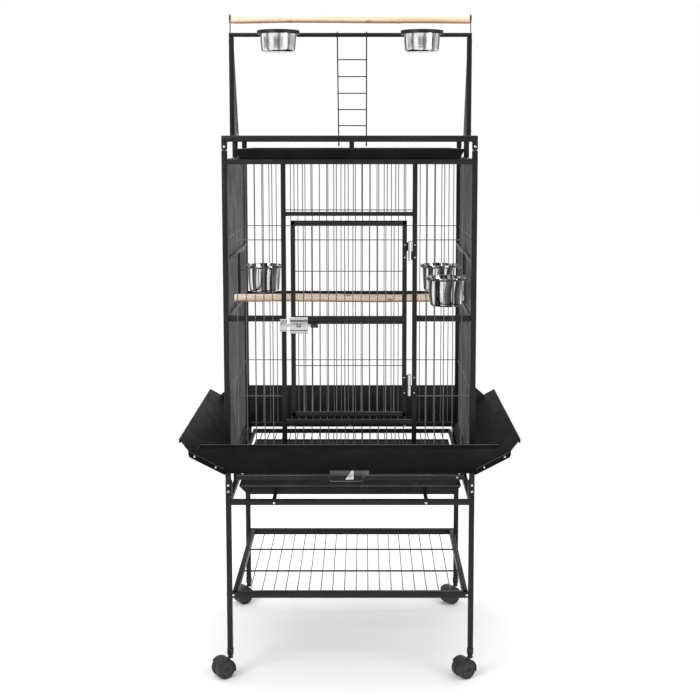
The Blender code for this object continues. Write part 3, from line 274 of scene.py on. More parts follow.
def wood_figure():
    """Long grain along X with darker streaks, knots and pores."""
    tree, start, end, place = new_group(
        "wood_figure", {"Grain": 60.0, "Knots": 16.0},
        {"Streak": "Float", "Knot": "Float", "Pore": "Float"})
    bent = noise(tree, place, 7.0, 2.0)
    grain = noise(tree, place, start["Grain"], 5.0, (0.05, 1.0, 1.0), 1.4)
    broad = noise(tree, place, maths(tree, "MULTIPLY", start["Grain"], 0.3), 2.0, (0.07, 1.0, 1.0), 0.6)
    streak = maths(tree, "MULTIPLY_ADD", grain, 0.6, maths(tree, "MULTIPLY", broad, 0.4))
    spot = put(tree, "Mapping", {"Vector": place, "Scale": (1.0, 2.4, 2.4)})
    cells = put(tree, "TexVoronoi", {"Vector": spot.outputs[0], "Scale": start["Knots"]}, feature="F1")
    reach = maths(tree, "MULTIPLY_ADD", bent, 0.16, cells.outputs["Distance"])
    tree.links.new(ramp(tree, streak, 0.34, 0.68), end["Streak"])
    tree.links.new(ramp(tree, reach, 0.16, 0.27, 1.0, 0.0), end["Knot"])
    tree.links.new(ramp(tree, noise(tree, place, 900.0, 2.0, (0.08, 1.0, 1.0)), 0.6, 0.72), end["Pore"])
    return tree


POWDER, WORN, DUST = powder_texture(), worn_edges(), settled_dust()
# the last of these paints reflections into a colour
MARKS, SPUN, WOOD, PAINTED_REFLECTIONS = handling_marks(), spun_lines(), wood_figure(), painted_reflection_bands()


def new_finish(name, **constants):
    """A material with its Principled shader's constant values set on the shader itself."""
    made = bpy.data.materials.new(name)
    made.use_nodes = True
    tree = made.node_tree
    shader = tree.nodes["Principled BSDF"]
    for key, value in constants.items():
        shader.inputs[key.replace("_", " ")].default_value = value
    return made, tree, shader.inputs


def use(tree, shared, **values):
    """Places a shared effect in a material with this material's own values."""
    made = tree.nodes.new("ShaderNodeGroup")
    made.node_tree = shared
    for key, value in values.items():
        made.inputs[key].default_value = value
    return made.outputs


def raise_bump(tree, shader, height, strength, depth):
    bump = put(tree, "Bump", {"Strength": strength, "Distance": depth, "Height": height})
    tree.links.new(bump.outputs[0], shader["Normal"])


def powder_coat(name, dark, light, rough, pebble, worn, dust, bump, sheen):
    """Baked black powder: pebbled, a little uneven in tone, greyer where rubbed, dusty on top."""
    made, tree, shader = new_finish(name, Specular_IOR_Level=sheen)
    skin = use(tree, POWDER, Pebble=pebble)
    rubbed = use(tree, WORN, Sharp=worn)["Mask"]
    dusty = use(tree, DUST, Amount=dust)["Mask"]
    marks = use(tree, MARKS)
    colour = blend_colour(tree, skin["Tone"], (*dark, 1), (*light, 1))
    colour = blend_colour(tree, maths(tree, "MULTIPLY", rubbed, 0.55), colour, (0.105, 0.105, 0.108, 1))
    colour = blend_colour(tree, dusty, colour, (0.22, 0.21, 0.19, 1))
    tree.links.new(colour, shader["Base Color"])
    gloss = maths(tree, "MULTIPLY_ADD", marks["Smears"], 0.10, rough)
    gloss = maths(tree, "SUBTRACT", gloss, maths(tree, "MULTIPLY", rubbed, 0.12))
    gloss = maths(tree, "MULTIPLY_ADD", dusty, 0.5, gloss, clamp=True)
    tree.links.new(gloss, shader["Roughness"])
    height = maths(tree, "MULTIPLY_ADD", marks["Scratches"], -0.25, skin["Height"])
    raise_bump(tree, shader, height, bump, 0.0002)
    return made


def bright_metal(name, clean, hazed, rough, rings, dust=0.0, painted_reflection=None):
    """Bare bright metal with spun rings, haze and hair scratches. When given, the last argument lays painted
    reflections into its colour: dark steel tones in upright stripes between bright ones.
    """
    made, tree, shader = new_finish(name, Metallic=1.0)
    spun = use(tree, SPUN, Rings=rings)
    marks = use(tree, MARKS, Smear=30.0)
    colour = blend_colour(tree, spun["Haze"], (*clean, 1), (*hazed, 1))
    # painted reflections: upright stripes of dark steel and bright room laid into the colour
    if painted_reflection:
        mirror = use(tree, PAINTED_REFLECTIONS, Share=painted_reflection[0], Edge=painted_reflection[1])
        shade = blend_colour(tree, mirror["Depth"], (*painted_reflection[2], 1), (*painted_reflection[3], 1))
        colour = blend_colour(tree, mirror["PaintedLit"], shade, colour)
    if dust:
        colour = blend_colour(tree, use(tree, DUST, Amount=dust)["Mask"], colour, (0.45, 0.43, 0.40, 1))
    tree.links.new(colour, shader["Base Color"])
    gloss = maths(tree, "MULTIPLY_ADD", spun["Haze"], 0.08, rough)
    gloss = maths(tree, "MULTIPLY_ADD", marks["Scratches"], 0.18, gloss, clamp=True)
    tree.links.new(gloss, shader["Roughness"])
    height = maths(tree, "MULTIPLY_ADD", marks["Scratches"], -0.4, spun["Height"])
    raise_bump(tree, shader, height, 0.12, 0.0002)
    return made


def bare_wood(name):
    """A peeled branch: pale sapwood with tan streaks, brown knots and open pores, and painted shade: the
    faces that look down are painted amber-brown.
    """
    made, tree, shader = new_finish(name, Specular_IOR_Level=0.3)
    figure = use(tree, WOOD)
    colour = blend_colour(tree, figure["Streak"], (0.82, 0.69, 0.56, 1), (0.68, 0.51, 0.37, 1))
    # painted shade: the faces that look down turn darker amber-brown
    up = put(tree, "SeparateXYZ", {0: put(tree, "NewGeometry").outputs["Normal"]}).outputs["Z"]
    colour = blend_colour(tree, ramp(tree, up, -0.25, -0.85, 0.0, 0.85), colour, (0.42, 0.20, 0.07, 1))
    colour = blend_colour(tree, maths(tree, "MULTIPLY", figure["Knot"], 0.75), colour, (0.36, 0.18, 0.08, 1))
    colour = blend_colour(tree, maths(tree, "MULTIPLY", figure["Pore"], 0.35), colour, (0.30, 0.16, 0.08, 1))
    tree.links.new(colour, shader["Base Color"])
    gloss = maths(tree, "MULTIPLY_ADD", figure["Streak"], 0.16, 0.56)
    tree.links.new(maths(tree, "MULTIPLY_ADD", figure["Knot"], -0.12, gloss), shader["Roughness"])
    height = maths(tree, "MULTIPLY_ADD", figure["Knot"], 0.5, figure["Streak"])
    height = maths(tree, "MULTIPLY_ADD", figure["Pore"], -0.6, height)
    raise_bump(tree, shader, height, 0.35, 0.0006)
    return made


def moulded(name, dark, light, rough, pebble, dust):
    """Black moulded plastic or rubber with a faint mould grain and scuffs."""
    made, tree, shader = new_finish(name, Specular_IOR_Level=0.4)
    skin = use(tree, POWDER, Pebble=pebble, Drift=40.0)
    rubbed = use(tree, WORN, Sharp=0.55, Patch=110.0)["Mask"]
    dusty = use(tree, DUST, Amount=dust, Drifts=30.0)["Mask"]
    colour = blend_colour(tree, skin["Tone"], (*dark, 1), (*light, 1))
    colour = blend_colour(tree, maths(tree, "MULTIPLY", rubbed, 0.5), colour, (0.13, 0.13, 0.13, 1))
    colour = blend_colour(tree, dusty, colour, (0.20, 0.19, 0.18, 1))
    tree.links.new(colour, shader["Base Color"])
    gloss = maths(tree, "MULTIPLY_ADD", skin["Tone"], 0.12, rough)
    tree.links.new(maths(tree, "MULTIPLY_ADD", dusty, 0.5, gloss, clamp=True), shader["Roughness"])
    raise_bump(tree, shader, skin["Height"], 0.3, 0.0002)
    return made


FINISHES = {
    # finish: (material, the record's slot)
    "frame coat": (powder_coat(
        "frame_powder_coat", (0.0060, 0.0062, 0.0068), (0.0105, 0.0108, 0.0115),
        0.38, 900.0, 0.57, 0.05, 0.30, 0.24), "black_steel"),
    # The same black powder as the frame, its colour painted many times paler: painted sheen on the thin
    # wires, and painted highlights on the pale strips that use it.
    "sheen-painted wire coat": (powder_coat(
        "wire_powder_coat_painted_sheen", (0.050, 0.050, 0.052), (0.105, 0.105, 0.108),
        0.36, 420.0, 0.66, 0.04, 0.35, 0.55), "black_steel"),
    "sheet coat": (powder_coat(
        "sheet_powder_coat", (0.0035, 0.0036, 0.0040), (0.0065, 0.0067, 0.0072),
        0.46, 700.0, 0.80, 0.02, 0.06, 0.06), "black_sheet"),
    # Two copies of one polished stainless that differ only in their painted reflections: the feeder cups'
    # copy is painted darker, standing for the dark cage round them; the play-top cups' copy is painted
    # brighter.
    "stainless": (bright_metal(
        "polished_stainless", (0.86, 0.86, 0.87), (0.76, 0.76, 0.77), 0.10, 2600.0,
        painted_reflection=(0.30, 0.22, (0.030, 0.030, 0.030), (0.150, 0.150, 0.145))), "stainless"),
    "open stainless": (bright_metal(
        "polished_stainless_in_the_open", (0.82, 0.82, 0.83), (0.70, 0.70, 0.71), 0.12, 2600.0,
        painted_reflection=(-0.85, 0.80, (0.200, 0.200, 0.200), (0.420, 0.420, 0.420))), "stainless"),
    "zinc": (bright_metal(
        "zinc_plating", (0.66, 0.67, 0.68), (0.55, 0.55, 0.53), 0.24, 3400.0, 0.08), "zinc_plate"),
    "wood": (bare_wood("peeled_branch"), "natural_wood"),
    "nylon": (moulded("moulded_nylon", (0.010, 0.010, 0.011), (0.017, 0.017, 0.018), 0.40, 1500.0, 0.16),
              "black_plastic"),
    "tyre": (moulded("tyre_rubber", (0.016, 0.016, 0.017), (0.026, 0.026, 0.027), 0.52, 800.0, 0.10),
             "caster_tyre"),
}


# ------------------------------------------------------------------ modelling by hand
def take(*pieces):
    """Selects just these pieces, the first one active."""
    bpy.ops.object.select_all(action="DESELECT")
    for piece in pieces:
        piece.select_set(True)
    bpy.context.view_layer.objects.active = pieces[0]
    return pieces[0]


def settle():
    """Moves the selected pieces' place, turn and size into their meshes."""
    bpy.ops.object.transform_apply(location=True, rotation=True, scale=True)
    return bpy.context.object


def edit(piece, kind="FACE", test=None):
    """Opens a piece in edit mode with only the faces, edges or corners selected that pass the test."""
    take(piece)
    bpy.context.tool_settings.mesh_select_mode = tuple(kind == word for word in ("VERT", "EDGE", "FACE"))
    bpy.ops.object.mode_set(mode="EDIT")
    if test is None:
        bpy.ops.mesh.select_all(action="SELECT")
        return piece
    bpy.ops.mesh.select_all(action="DESELECT")
    bpy.ops.object.mode_set(mode="OBJECT")
    mesh = piece.data
    if kind == "FACE":
        for face in mesh.polygons:
            face.select = bool(test(face.center, face.normal))
    elif kind == "EDGE":
        for edge in mesh.edges:
            first, second = (mesh.vertices[i].co for i in edge.vertices)
            edge.select = bool(test((first + second) / 2, (second - first).normalized()))
    else:
        for corner in mesh.vertices:
            corner.select = bool(test(corner.co))
    bpy.ops.object.mode_set(mode="EDIT")
    return piece


def close(piece):
    bpy.ops.object.mode_set(mode="OBJECT")
    return piece


def draw_out(way):
    """Extrudes what is selected along a vector."""
    bpy.ops.mesh.extrude_region_move(TRANSFORM_OT_translate={"value": tuple(way)})


def swell(share, centre):
    """Scales what is selected about a point. share: one number or three."""
    three = tuple(share) if hasattr(share, "__len__") else (share, share, share)
    bpy.ops.transform.resize(value=three, center_override=tuple(centre))


def ease(width, steps=2, corners=False):
    """Bevels the selected edges, or the selected corners of a sheet."""
    bpy.ops.mesh.bevel(
        offset=width, segments=steps, affect="VERTICES" if corners else "EDGES", clamp_overlap=True)


def thicken(piece, thickness, offset):
    """Gives a folded or pressed sheet its wall."""
    wall = piece.modifiers.new("wall", "SOLIDIFY")
    wall.thickness = thickness
    wall.offset = offset
    bpy.ops.object.modifier_apply(modifier=wall.name)


def dull(piece, width, segments):
    """Takes the sharpness off a sheet's edges."""
    soft = piece.modifiers.new("soft", "BEVEL")
    soft.width = width
    soft.segments = segments
    bpy.ops.object.modifier_apply(modifier=soft.name)


def bar(low, high, edge=CORNER, steps=3):
    """A square tube or bar between two corners, its edges rolled over."""
    first, second = Vector(map(min, low, high)), Vector(map(max, low, high))
    bpy.ops.mesh.primitive_cube_add(size=1, location=(first + second) / 2, scale=second - first)
    piece = settle()
    edit(piece, "EDGE")
    ease(edge, steps)
    return close(piece)


def wire(start, end, radius=WIRE / 2, sides=10, foot=0.0010):
    """A drawn wire between two welds, where its ends spread a little."""
    start, end = Vector(start), Vector(end)
    way = (end - start).normalized()
    length = (end - start).length - 2 * foot
    bpy.ops.mesh.primitive_cylinder_add(
        vertices=sides, radius=radius, depth=length, location=(start + end) / 2,
        rotation=way.to_track_quat("Z", "Y").to_euler())
    piece = settle()
    for sign, tip in ((-1, start), (1, end)):
        edit(piece, "FACE", lambda centre, normal: normal.dot(way) * sign > 0.9)
        draw_out(way * foot * sign)
        swell(1.45, tip)
        close(piece)
    return piece


def row(piece, step, count):
    """Repeats a part at even steps, as one mesh."""
    take(piece)
    repeat = piece.modifiers.new("row", "ARRAY")
    repeat.use_relative_offset = False
    repeat.use_constant_offset = True
    repeat.constant_offset_displace = step
    repeat.count = count
    bpy.ops.object.modifier_apply(modifier=repeat.name)
    return piece


def wire_row(start, end, low, high, axis=0, pitch=PITCH, **drawn):
    """Wires from start to end, repeated between two rails that lie low and high along an axis."""
    gaps = max(1, round((high - low) / pitch))
    step = Vector((0, 0, 0))
    step[axis] = (high - low) / gaps
    first = Vector((0, 0, 0))
    first[axis] = low + step[axis]
    return row(wire(Vector(start) + first, Vector(end) + first, **drawn), step, gaps - 1)


def copy_to(piece, place):
    """A copy with its own mesh, moved by a matrix."""
    take(piece)
    bpy.ops.object.duplicate()
    made = bpy.context.object
    made.matrix_world = place @ made.matrix_world
    return settle()


def profile_line(points):
    """A line drawn by extruding one corner through the points."""
    bpy.ops.mesh.primitive_plane_add(size=0.001, location=(0, 0, 0))
    piece = edit(bpy.context.object, "VERT")
    bpy.ops.mesh.merge(type="CENTER")
    bpy.ops.transform.translate(value=tuple(points[0]))
    for before, after in zip(points, points[1:]):
        draw_out(Vector(after) - Vector(before))
    bpy.ops.mesh.select_all(action="SELECT")
    return piece


def turned(profile, sides=32, place=(0, 0, 0), axis=(0, 0, 1)):
    """A profile of (radius, height) spun about an axis through a place."""
    piece = profile_line([(radius, 0, height) for radius, height in profile])
    bpy.ops.mesh.spin(steps=sides, angle=math.tau, center=(0, 0, 0), axis=(0, 0, 1))
    bpy.ops.mesh.select_all(action="SELECT")
    bpy.ops.mesh.remove_doubles(threshold=MERGE)
    bpy.ops.mesh.normals_make_consistent(inside=False)
    close(piece)
    piece.rotation_mode = "QUATERNION"
    piece.rotation_quaternion = Vector((0, 0, 1)).rotation_difference(Vector(axis))
    piece.location = place
    return settle()


def pressed(points, through, edge=0.0, steps=2):
    """A flat outline filled and given thickness along a vector."""
    piece = profile_line(points)
    bpy.ops.mesh.edge_face_add()
    draw_out(through)
    bpy.ops.mesh.select_all(action="SELECT")
    bpy.ops.mesh.normals_make_consistent(inside=False)
    if edge:
        ease(edge, steps)
    return close(piece)


def rounded_outline(points, radius, steps=4):
    """A closed flat outline with each corner turned on an arc."""
    made = []
    for i, corner in enumerate(points):
        corner = Vector(corner)
        before, after = Vector(points[i - 1]), Vector(points[(i + 1) % len(points)])
        reach = min(radius, (before - corner).length / 2.1, (after - corner).length / 2.1)
        start = corner + (before - corner).normalized() * reach
        end = corner + (after - corner).normalized() * reach
        for step in range(steps + 1):
            share = step / steps
            made.append(start * (1 - share) ** 2 + corner * 2 * share * (1 - share) + end * share ** 2)
    return made


def eased_path(points, radius, steps=5):
    """An open path with its inner corners turned on an arc."""
    points = [Vector(point) for point in points]
    middle = rounded_outline(points, radius, steps)[steps + 1:-(steps + 1)]
    return [points[0]] + middle + [points[-1]]


def bent_wire(points, radius, resolution=3):
    """A round wire or tube bent along a path, its ends closed."""
    bpy.ops.curve.primitive_nurbs_path_add(location=(0, 0, 0))
    piece = bpy.context.object
    curve = piece.data
    curve.splines.clear()
    path = curve.splines.new("POLY")
    path.points.add(len(points) - 1)
    for point, place in zip(path.points, points):
        point.co = (*place, 1)
    curve.bevel_depth = radius
    curve.bevel_resolution = resolution
    curve.use_fill_caps = True
    bpy.ops.object.convert(target="MESH")
    piece = edit(bpy.context.object, "VERT")
    bpy.ops.mesh.remove_doubles(threshold=MERGE)
    bpy.ops.mesh.normals_make_consistent(inside=False)
    return close(piece)


def bead(start, end, radius=0.0013):
    """A run of weld metal in a corner: a thin rod swollen into overlapping ripples."""
    start, end = Vector(start), Vector(end)
    way = (end - start).normalized()
    ripples = max(3, round((end - start).length / 0.0028))
    bpy.ops.mesh.primitive_cylinder_add(
        vertices=8, radius=radius, depth=(end - start).length, location=(start + end) / 2,
        rotation=way.to_track_quat("Z", "Y").to_euler())
    piece = settle()
    edit(piece, "EDGE", lambda middle, along: abs(along.dot(way)) > 0.9)
    bpy.ops.mesh.subdivide(number_cuts=2 * ripples - 1, smoothness=0)
    close(piece)
    pitch = (end - start).length / (2 * ripples)

    def valley(corner):
        return round((corner - start).dot(way) / pitch) % 2 == 0

    edit(piece, "VERT", valley)
    axis = Vector(abs(part) for part in way)
    swell([1 if part > 0.9 else 0.72 for part in axis], (start + end) / 2)
    return close(piece)


def screw_head(place, way, radius=0.0031):
    """A pan head with a recess, standing on a face that looks along way."""
    return turned([
        (0, 0.0007), (radius * 0.30, 0.0007), (radius * 0.36, 0.0018), (radius * 0.62, 0.0017),
        (radius * 0.90, 0.0011), (radius, 0.0004), (radius, -0.0002), (0, -0.0002),
    ], 16, place, way)


def fit(name, parts, finish, body, *nodes, smooth=35):
    """Joins parts into one named piece that rides on its body and stands for its nodes."""
    take(*parts)
    if len(parts) > 1:
        bpy.ops.object.join()
    piece = bpy.context.object
    bpy.ops.object.shade_smooth_by_angle(angle=math.radians(smooth))
    piece.name = piece.data.name = name
    material, slot = FINISHES[finish]
    piece.data.materials.clear()
    piece.data.materials.append(material)
    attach(piece, body)
    if nodes:
        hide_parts(*nodes)
    return piece


# ------------------------------------------------------------------ cage panels
def end_panel_frame(face, inward):
    """Posts and rails of the front or back: parts for one piece."""
    inner = face + inward * TUBE
    parts = []
    for side in (-1, 1):
        parts.append(bar((side * HALF_W, face, POST_FOOT), (side * IN_X, inner, POST_TOP)))
    reach = IN_X + BITE
    parts.append(bar((-reach, face, BASE_LOW), (reach, inner, BASE_TOP)))
    parts.append(bar((-reach, face, ROOF_LOW), (reach, inner, ROOF_TOP - GAP)))
    for side in (-1, 1):
        x = side * (IN_X - 0.0002)
        for z in (BASE_LOW, BASE_TOP, ROOF_LOW):
            parts.append(bead((x, face + inward * 0.002, z), (x, inner - inward * 0.002, z), 0.0009))
        parts.append(bead((x, inner, BASE_LOW + 0.001), (x, inner, BASE_TOP - 0.001), 0.0009))
    return parts


def make_front_panel():
    jamb_left, jamb_right = OPENING_LEFT - JAMB, OPENING_RIGHT + JAMB
    back = FRONT + TUBE - 2 * BITE
    parts = end_panel_frame(FRONT, 1)
    for low, high in ((jamb_left, OPENING_LEFT), (OPENING_RIGHT, jamb_right)):
        parts.append(bar((low, FRONT, BASE_TOP - BITE), (high, back, ROOF_LOW + BITE)))
    for low, high in ((SILL_LOW, SILL_TOP), (TRANSOM_LOW, TRANSOM_TOP)):
        parts.append(bar((OPENING_LEFT - BITE, FRONT + BITE, low), (OPENING_RIGHT + BITE, back - BITE, high)))
    for low, high in ((-IN_X - BITE, jamb_left + BITE), (jamb_right - BITE, IN_X + BITE)):
        parts.append(bar((low, FRONT + RAIL_IN, MID_LOW), (high, FRONT + TUBE - BITE, MID_TOP)))
    parts += opening_welds(back)
    leaves, knuckles = hinge_half(
        jamb_right - BITE, OPENING_RIGHT + 0.0004, HINGE_X + KNUCKLE_IN + 0.0002, False)
    fit("front_panel_frame", parts + leaves, "frame coat", "cage", "front_panel")
    fit("front_hinge_knuckles", knuckles, "zinc", "cage", "front_panel")

    plane = FRONT + WIRE_IN
    wires = []
    for low, high in ((-IN_X, jamb_left), (jamb_right, IN_X)):
        wires.append(wire_row((0, plane, BASE_TOP - BITE), (0, plane, ROOF_LOW + BITE), low, high))
        for z in ROUND_WIRES:
            wires.append(wire((low - BITE, plane + WIRE * 0.8, z), (high + BITE, plane + WIRE * 0.8, z)))
    for low, high in ((BASE_TOP, SILL_LOW), (TRANSOM_TOP, ROOF_LOW)):
        wires.append(wire_row(
            (0, plane, low - BITE), (0, plane, high + BITE), OPENING_LEFT, OPENING_RIGHT))
    wires.append(wire((OPENING_LEFT - BITE, plane - 0.0012, TRANSOM_WIRE),
                      (OPENING_RIGHT + BITE, plane - 0.0012, TRANSOM_WIRE), WIRE / 2))
    for x in (-0.152, 0.0, 0.141):
        low, high = (x - 0.004, FRONT + 0.002, SILL_LOW - 0.0035), (x + 0.004, FRONT + 0.010, SILL_LOW + BITE)
        wires.append(bar(low, high, 0.001))
    fit("front_panel_wires", wires, "sheen-painted wire coat", "cage", "front_panel")


def opening_welds(back):
    """Rounded corner fillets where the sill and transom meet the jambs."""
    parts = []
    size = 0.0042
    for x, way in ((OPENING_LEFT, 1), (OPENING_RIGHT, -1)):
        for z, up in ((SILL_TOP, 1), (SILL_LOW, -1), (TRANSOM_LOW, -1), (TRANSOM_TOP, 1)):
            start = Vector((x - way * BITE, FRONT + 0.0014, z - up * BITE))
            out, rise = Vector((way * size, 0, 0)), Vector((0, 0, up * size))
            hollow = [start, start + out + rise * 0.1, start + out * 0.42 + rise * 0.24,
                      start + out * 0.24 + rise * 0.42, start + out * 0.1 + rise]
            parts.append(pressed(hollow, (0, back - FRONT - 0.004, 0)))
    return parts


def make_back_panel():
    parts = end_panel_frame(BACK, -1)
    parts.append(bar((-IN_X - BITE, BACK - TUBE + BITE, MID_LOW), (IN_X + BITE, BACK - RAIL_IN, MID_TOP)))
    fit("back_panel_frame", parts, "frame coat", "cage", "back_panel")
    plane = BACK - WIRE_IN
    wires = [wire_row((0, plane, BASE_TOP - BITE), (0, plane, ROOF_LOW + BITE), -IN_X, IN_X)]
    for z in ROUND_WIRES:
        wires.append(wire((-IN_X - BITE, plane - WIRE * 0.8, z), (IN_X + BITE, plane - WIRE * 0.8, z)))
    fit("back_panel_wires", wires, "sheen-painted wire coat", "cage", "back_panel")


def make_side_panel(word, side, openings):
    """A side between the posts. openings: -1 for a feeder door in its front half, 1 in its back."""
    node = f"{word}_panel"
    low_y, high_y = CAGE[0].y, CAGE[1].y
    end = 0.006
    face, inner = side * HALF_W, side * IN_X
    rail_face, rail_back = side * (HALF_W - RAIL_IN), inner + side * BITE
    parts = [bar((face, low_y, low), (inner, high_y, high))
             for low, high in ((BASE_LOW, BASE_TOP), (ROOF_LOW, ROOF_TOP - GAP))]
    parts += [bar((face, way * high_y, BASE_LOW + BITE), (inner, way * (high_y - end), ROOF_TOP - BITE))
              for way in (-1, 1)]
    reach = high_y - end + BITE
    for low, high in ((MID_LOW, MID_TOP), (FEEDER_RAIL_LOW, FEEDER_RAIL_TOP)):
        parts.append(bar((rail_face, -reach, low), (rail_back, reach, high)))
    for way in openings:
        low = (rail_face, way * FEEDER_NEAR, MID_TOP - BITE)
        high = (rail_back + side * BITE, way * (FEEDER_NEAR - end), FEEDER_RAIL_LOW + BITE)
        parts.append(bar(low, high, 0.0012))
    web_out, top = GRATE_HALF + 0.0065, BASE_LOW + BITE
    low, lap = GRATE_LOW - GAP - SHEET, IN_X + 0.004
    ledge = [(web_out, low), (web_out, top - SHEET), (lap, top - SHEET), (lap, top), (web_out - SHEET, top),
             (web_out - SHEET, low + SHEET), (GRATE_HALF - 0.006, low + SHEET), (GRATE_HALF - 0.006, low)]
    parts.append(pressed([(side * x, low_y, z) for x, z in ledge], (0, high_y - low_y, 0), 0.0003, 1))
    fit(f"{word}_panel_frame", parts, "frame coat", "cage", node)

    plane = side * (HALF_W - WIRE_IN)
    start, stop = low_y + end, high_y - end
    gaps = max(1, round((stop - start) / PITCH))
    step = (stop - start) / gaps
    runs = {}
    for i in range(1, gaps):
        y = start + step * i
        cut = any(FEEDER_NEAR < y * way < FEEDER_FAR for way in openings)
        spans = [(BASE_TOP, MID_TOP), (FEEDER_RAIL_LOW, ROOF_LOW)] if cut else [(BASE_TOP, ROOF_LOW)]
        for span in spans:
            runs.setdefault(span, []).append(y)
    wires = []
    for (low, high), places in runs.items():
        first = wire((plane, 0, low - BITE), (plane, 0, high + BITE))
        groups = [[places[0]]]
        for y in places[1:]:
            if y - groups[-1][-1] > step * 1.5:
                groups.append([])
            groups[-1].append(y)
        for group in groups:
            copied = copy_to(first, Matrix.Translation((0, group[0], 0)))
            wires.append(row(copied, (0, step, 0), len(group)))
        bpy.data.objects.remove(first)
    for z in ROUND_WIRES:
        x = plane - side * WIRE * 0.8
        wires.append(wire((x, start - BITE, z), (x, stop + BITE, z)))
    fit(f"{word}_panel_wires", wires, "sheen-painted wire coat", "cage", node)


def make_roof():
    half_x, half_y, rim = IN_X - GAP, IN_Y - GAP, 0.008
    low, high = ROOF_TOP - 0.009, ROOF_TOP
    parts = [bar((-half_x, way * half_y, low), (half_x, way * (half_y - rim), high), 0.0012)
             for way in (-1, 1)]
    parts += [bar((way * half_x, -half_y, low), (way * (half_x - rim), half_y, high), 0.0012)
              for way in (-1, 1)]
    end = half_y - rim + BITE
    z = high - 0.004
    parts.append(wire_row((0, -end, z), (0, end, z), -half_x + rim, half_x - rim))
    for y in (-half_y / 3, half_y / 3):
        parts.append(wire((-half_x + rim, y, z - WIRE * 0.8), (half_x - rim, y, z - WIRE * 0.8)))
    fit("roof_grille_wires", parts, "sheen-painted wire coat", "cage", "roof_grille")


# ------------------------------------------------------------------ door, hinges and latch
def hinge_half(bar_far, bar_near, bore_side, upper):
    """Screwed leaves down a bar's face with arms to the pin, and the rolled knuckles on the arms."""
    leaves, knuckles = [], []
    arm_front = HINGE_Y - BITE
    lap = BITE if bar_far > bar_near else -BITE
    for low, high in HINGE_SPANS:
        middle = (low + high) / 2
        start, stop = (middle + GAP, high) if upper else (low, middle)
        for corner, opposite in (
                ((bar_far, LEAF_FRONT, low + BITE), (bar_near, FRONT + BITE, high - BITE)),
                ((bar_near + lap, arm_front, start + BITE), (bore_side, FRONT + BITE, stop - BITE))):
            leaves.append(bar(corner, opposite, 0.0007, 2))
        ring = [(KNUCKLE_IN, start), (KNUCKLE_OUT - 0.0006, start), (KNUCKLE_OUT, start + 0.0006),
                (KNUCKLE_OUT, stop - 0.0006), (KNUCKLE_OUT - 0.0006, stop), (KNUCKLE_IN, stop),
                (KNUCKLE_IN, start)]
        knuckles.append(turned(ring, 28, (HINGE_X, HINGE_Y, 0)))
        for z in (low + LEAF_SCREW_IN, high - LEAF_SCREW_IN):
            spot = ((bar_far + bar_near) / 2, LEAF_FRONT, z)
            knuckles.append(screw_head(spot, FACING_FRONT, LEAF_SCREW_R))
    return leaves, knuckles


def make_hinge_pins():
    for word, (_, high) in zip(("upper", "lower"), HINGE_SPANS):
        node = f"hinge_pin_{word}"
        foot, crown = (corner.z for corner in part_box(node))
        pin = turned([
            (0, foot), (0.0014, foot), (0.0020, foot + 0.0008), (0.0020, high + GAP),
            (KNUCKLE_OUT, high + 0.0005), (KNUCKLE_OUT, high + 0.0014),
            (KNUCKLE_OUT * 0.82, crown - 0.0006), (KNUCKLE_OUT * 0.45, crown - 0.0001), (0, crown),
        ], 24, (HINGE_X, HINGE_Y, 0))
        fit(f"hinge_pin_{word}_turned", [pin], "zinc", "cage", node)


def make_door():
    front, back = FRONT, FRONT + DOOR_DEEP
    left, right = DOOR_LEFT + DOOR_BAR, DOOR_RIGHT - DOOR_BAR
    low, high = DOOR_LOW + DOOR_BAR, DOOR_HIGH - DOOR_BAR
    parts = [
        bar((DOOR_LEFT, front, DOOR_LOW), (left, back, DOOR_HIGH)),
        bar((right, front, DOOR_LOW), (DOOR_RIGHT, back, DOOR_HIGH)),
        bar((DOOR_LEFT + BITE, front, DOOR_LOW), (DOOR_RIGHT - BITE, back, low)),
        bar((DOOR_LEFT + BITE, front, high), (DOOR_RIGHT - BITE, back, DOOR_HIGH)),
        bar((left - BITE, FRONT + BITE, MID_LOW), (right + BITE, FRONT + WIRE_IN, MID_TOP), 0.0010),
        bar((left - BITE, FRONT + 0.0035, MID_LOW - 0.0062),
            (right + BITE, FRONT + 0.0085, MID_LOW + 0.002), 0.0008),
    ]
    for x in (left, right):
        for z in (low, high, MID_LOW, MID_TOP):
            parts.append(bead((x, front + 0.002, z), (x, back - 0.002, z), 0.0010))
    leaves, knuckles = hinge_half(right + BITE, DOOR_RIGHT - 0.0004, HINGE_X - KNUCKLE_IN - 0.0002, True)
    fit("door_frame", parts + leaves, "frame coat", "door", "door")
    fit("door_hinge_knuckles", knuckles, "zinc", "door", "door")
    plane = FRONT + WIRE_IN
    wires = [wire_row((0, plane, low - BITE), (0, plane, high + BITE), left, right)]
    for z in DOOR_WIRES:
        wires.append(wire((left - BITE, plane + WIRE * 0.8, z), (right + BITE, plane + WIRE * 0.8, z)))
    fit("door_wires", wires, "sheen-painted wire coat", "door", "door")


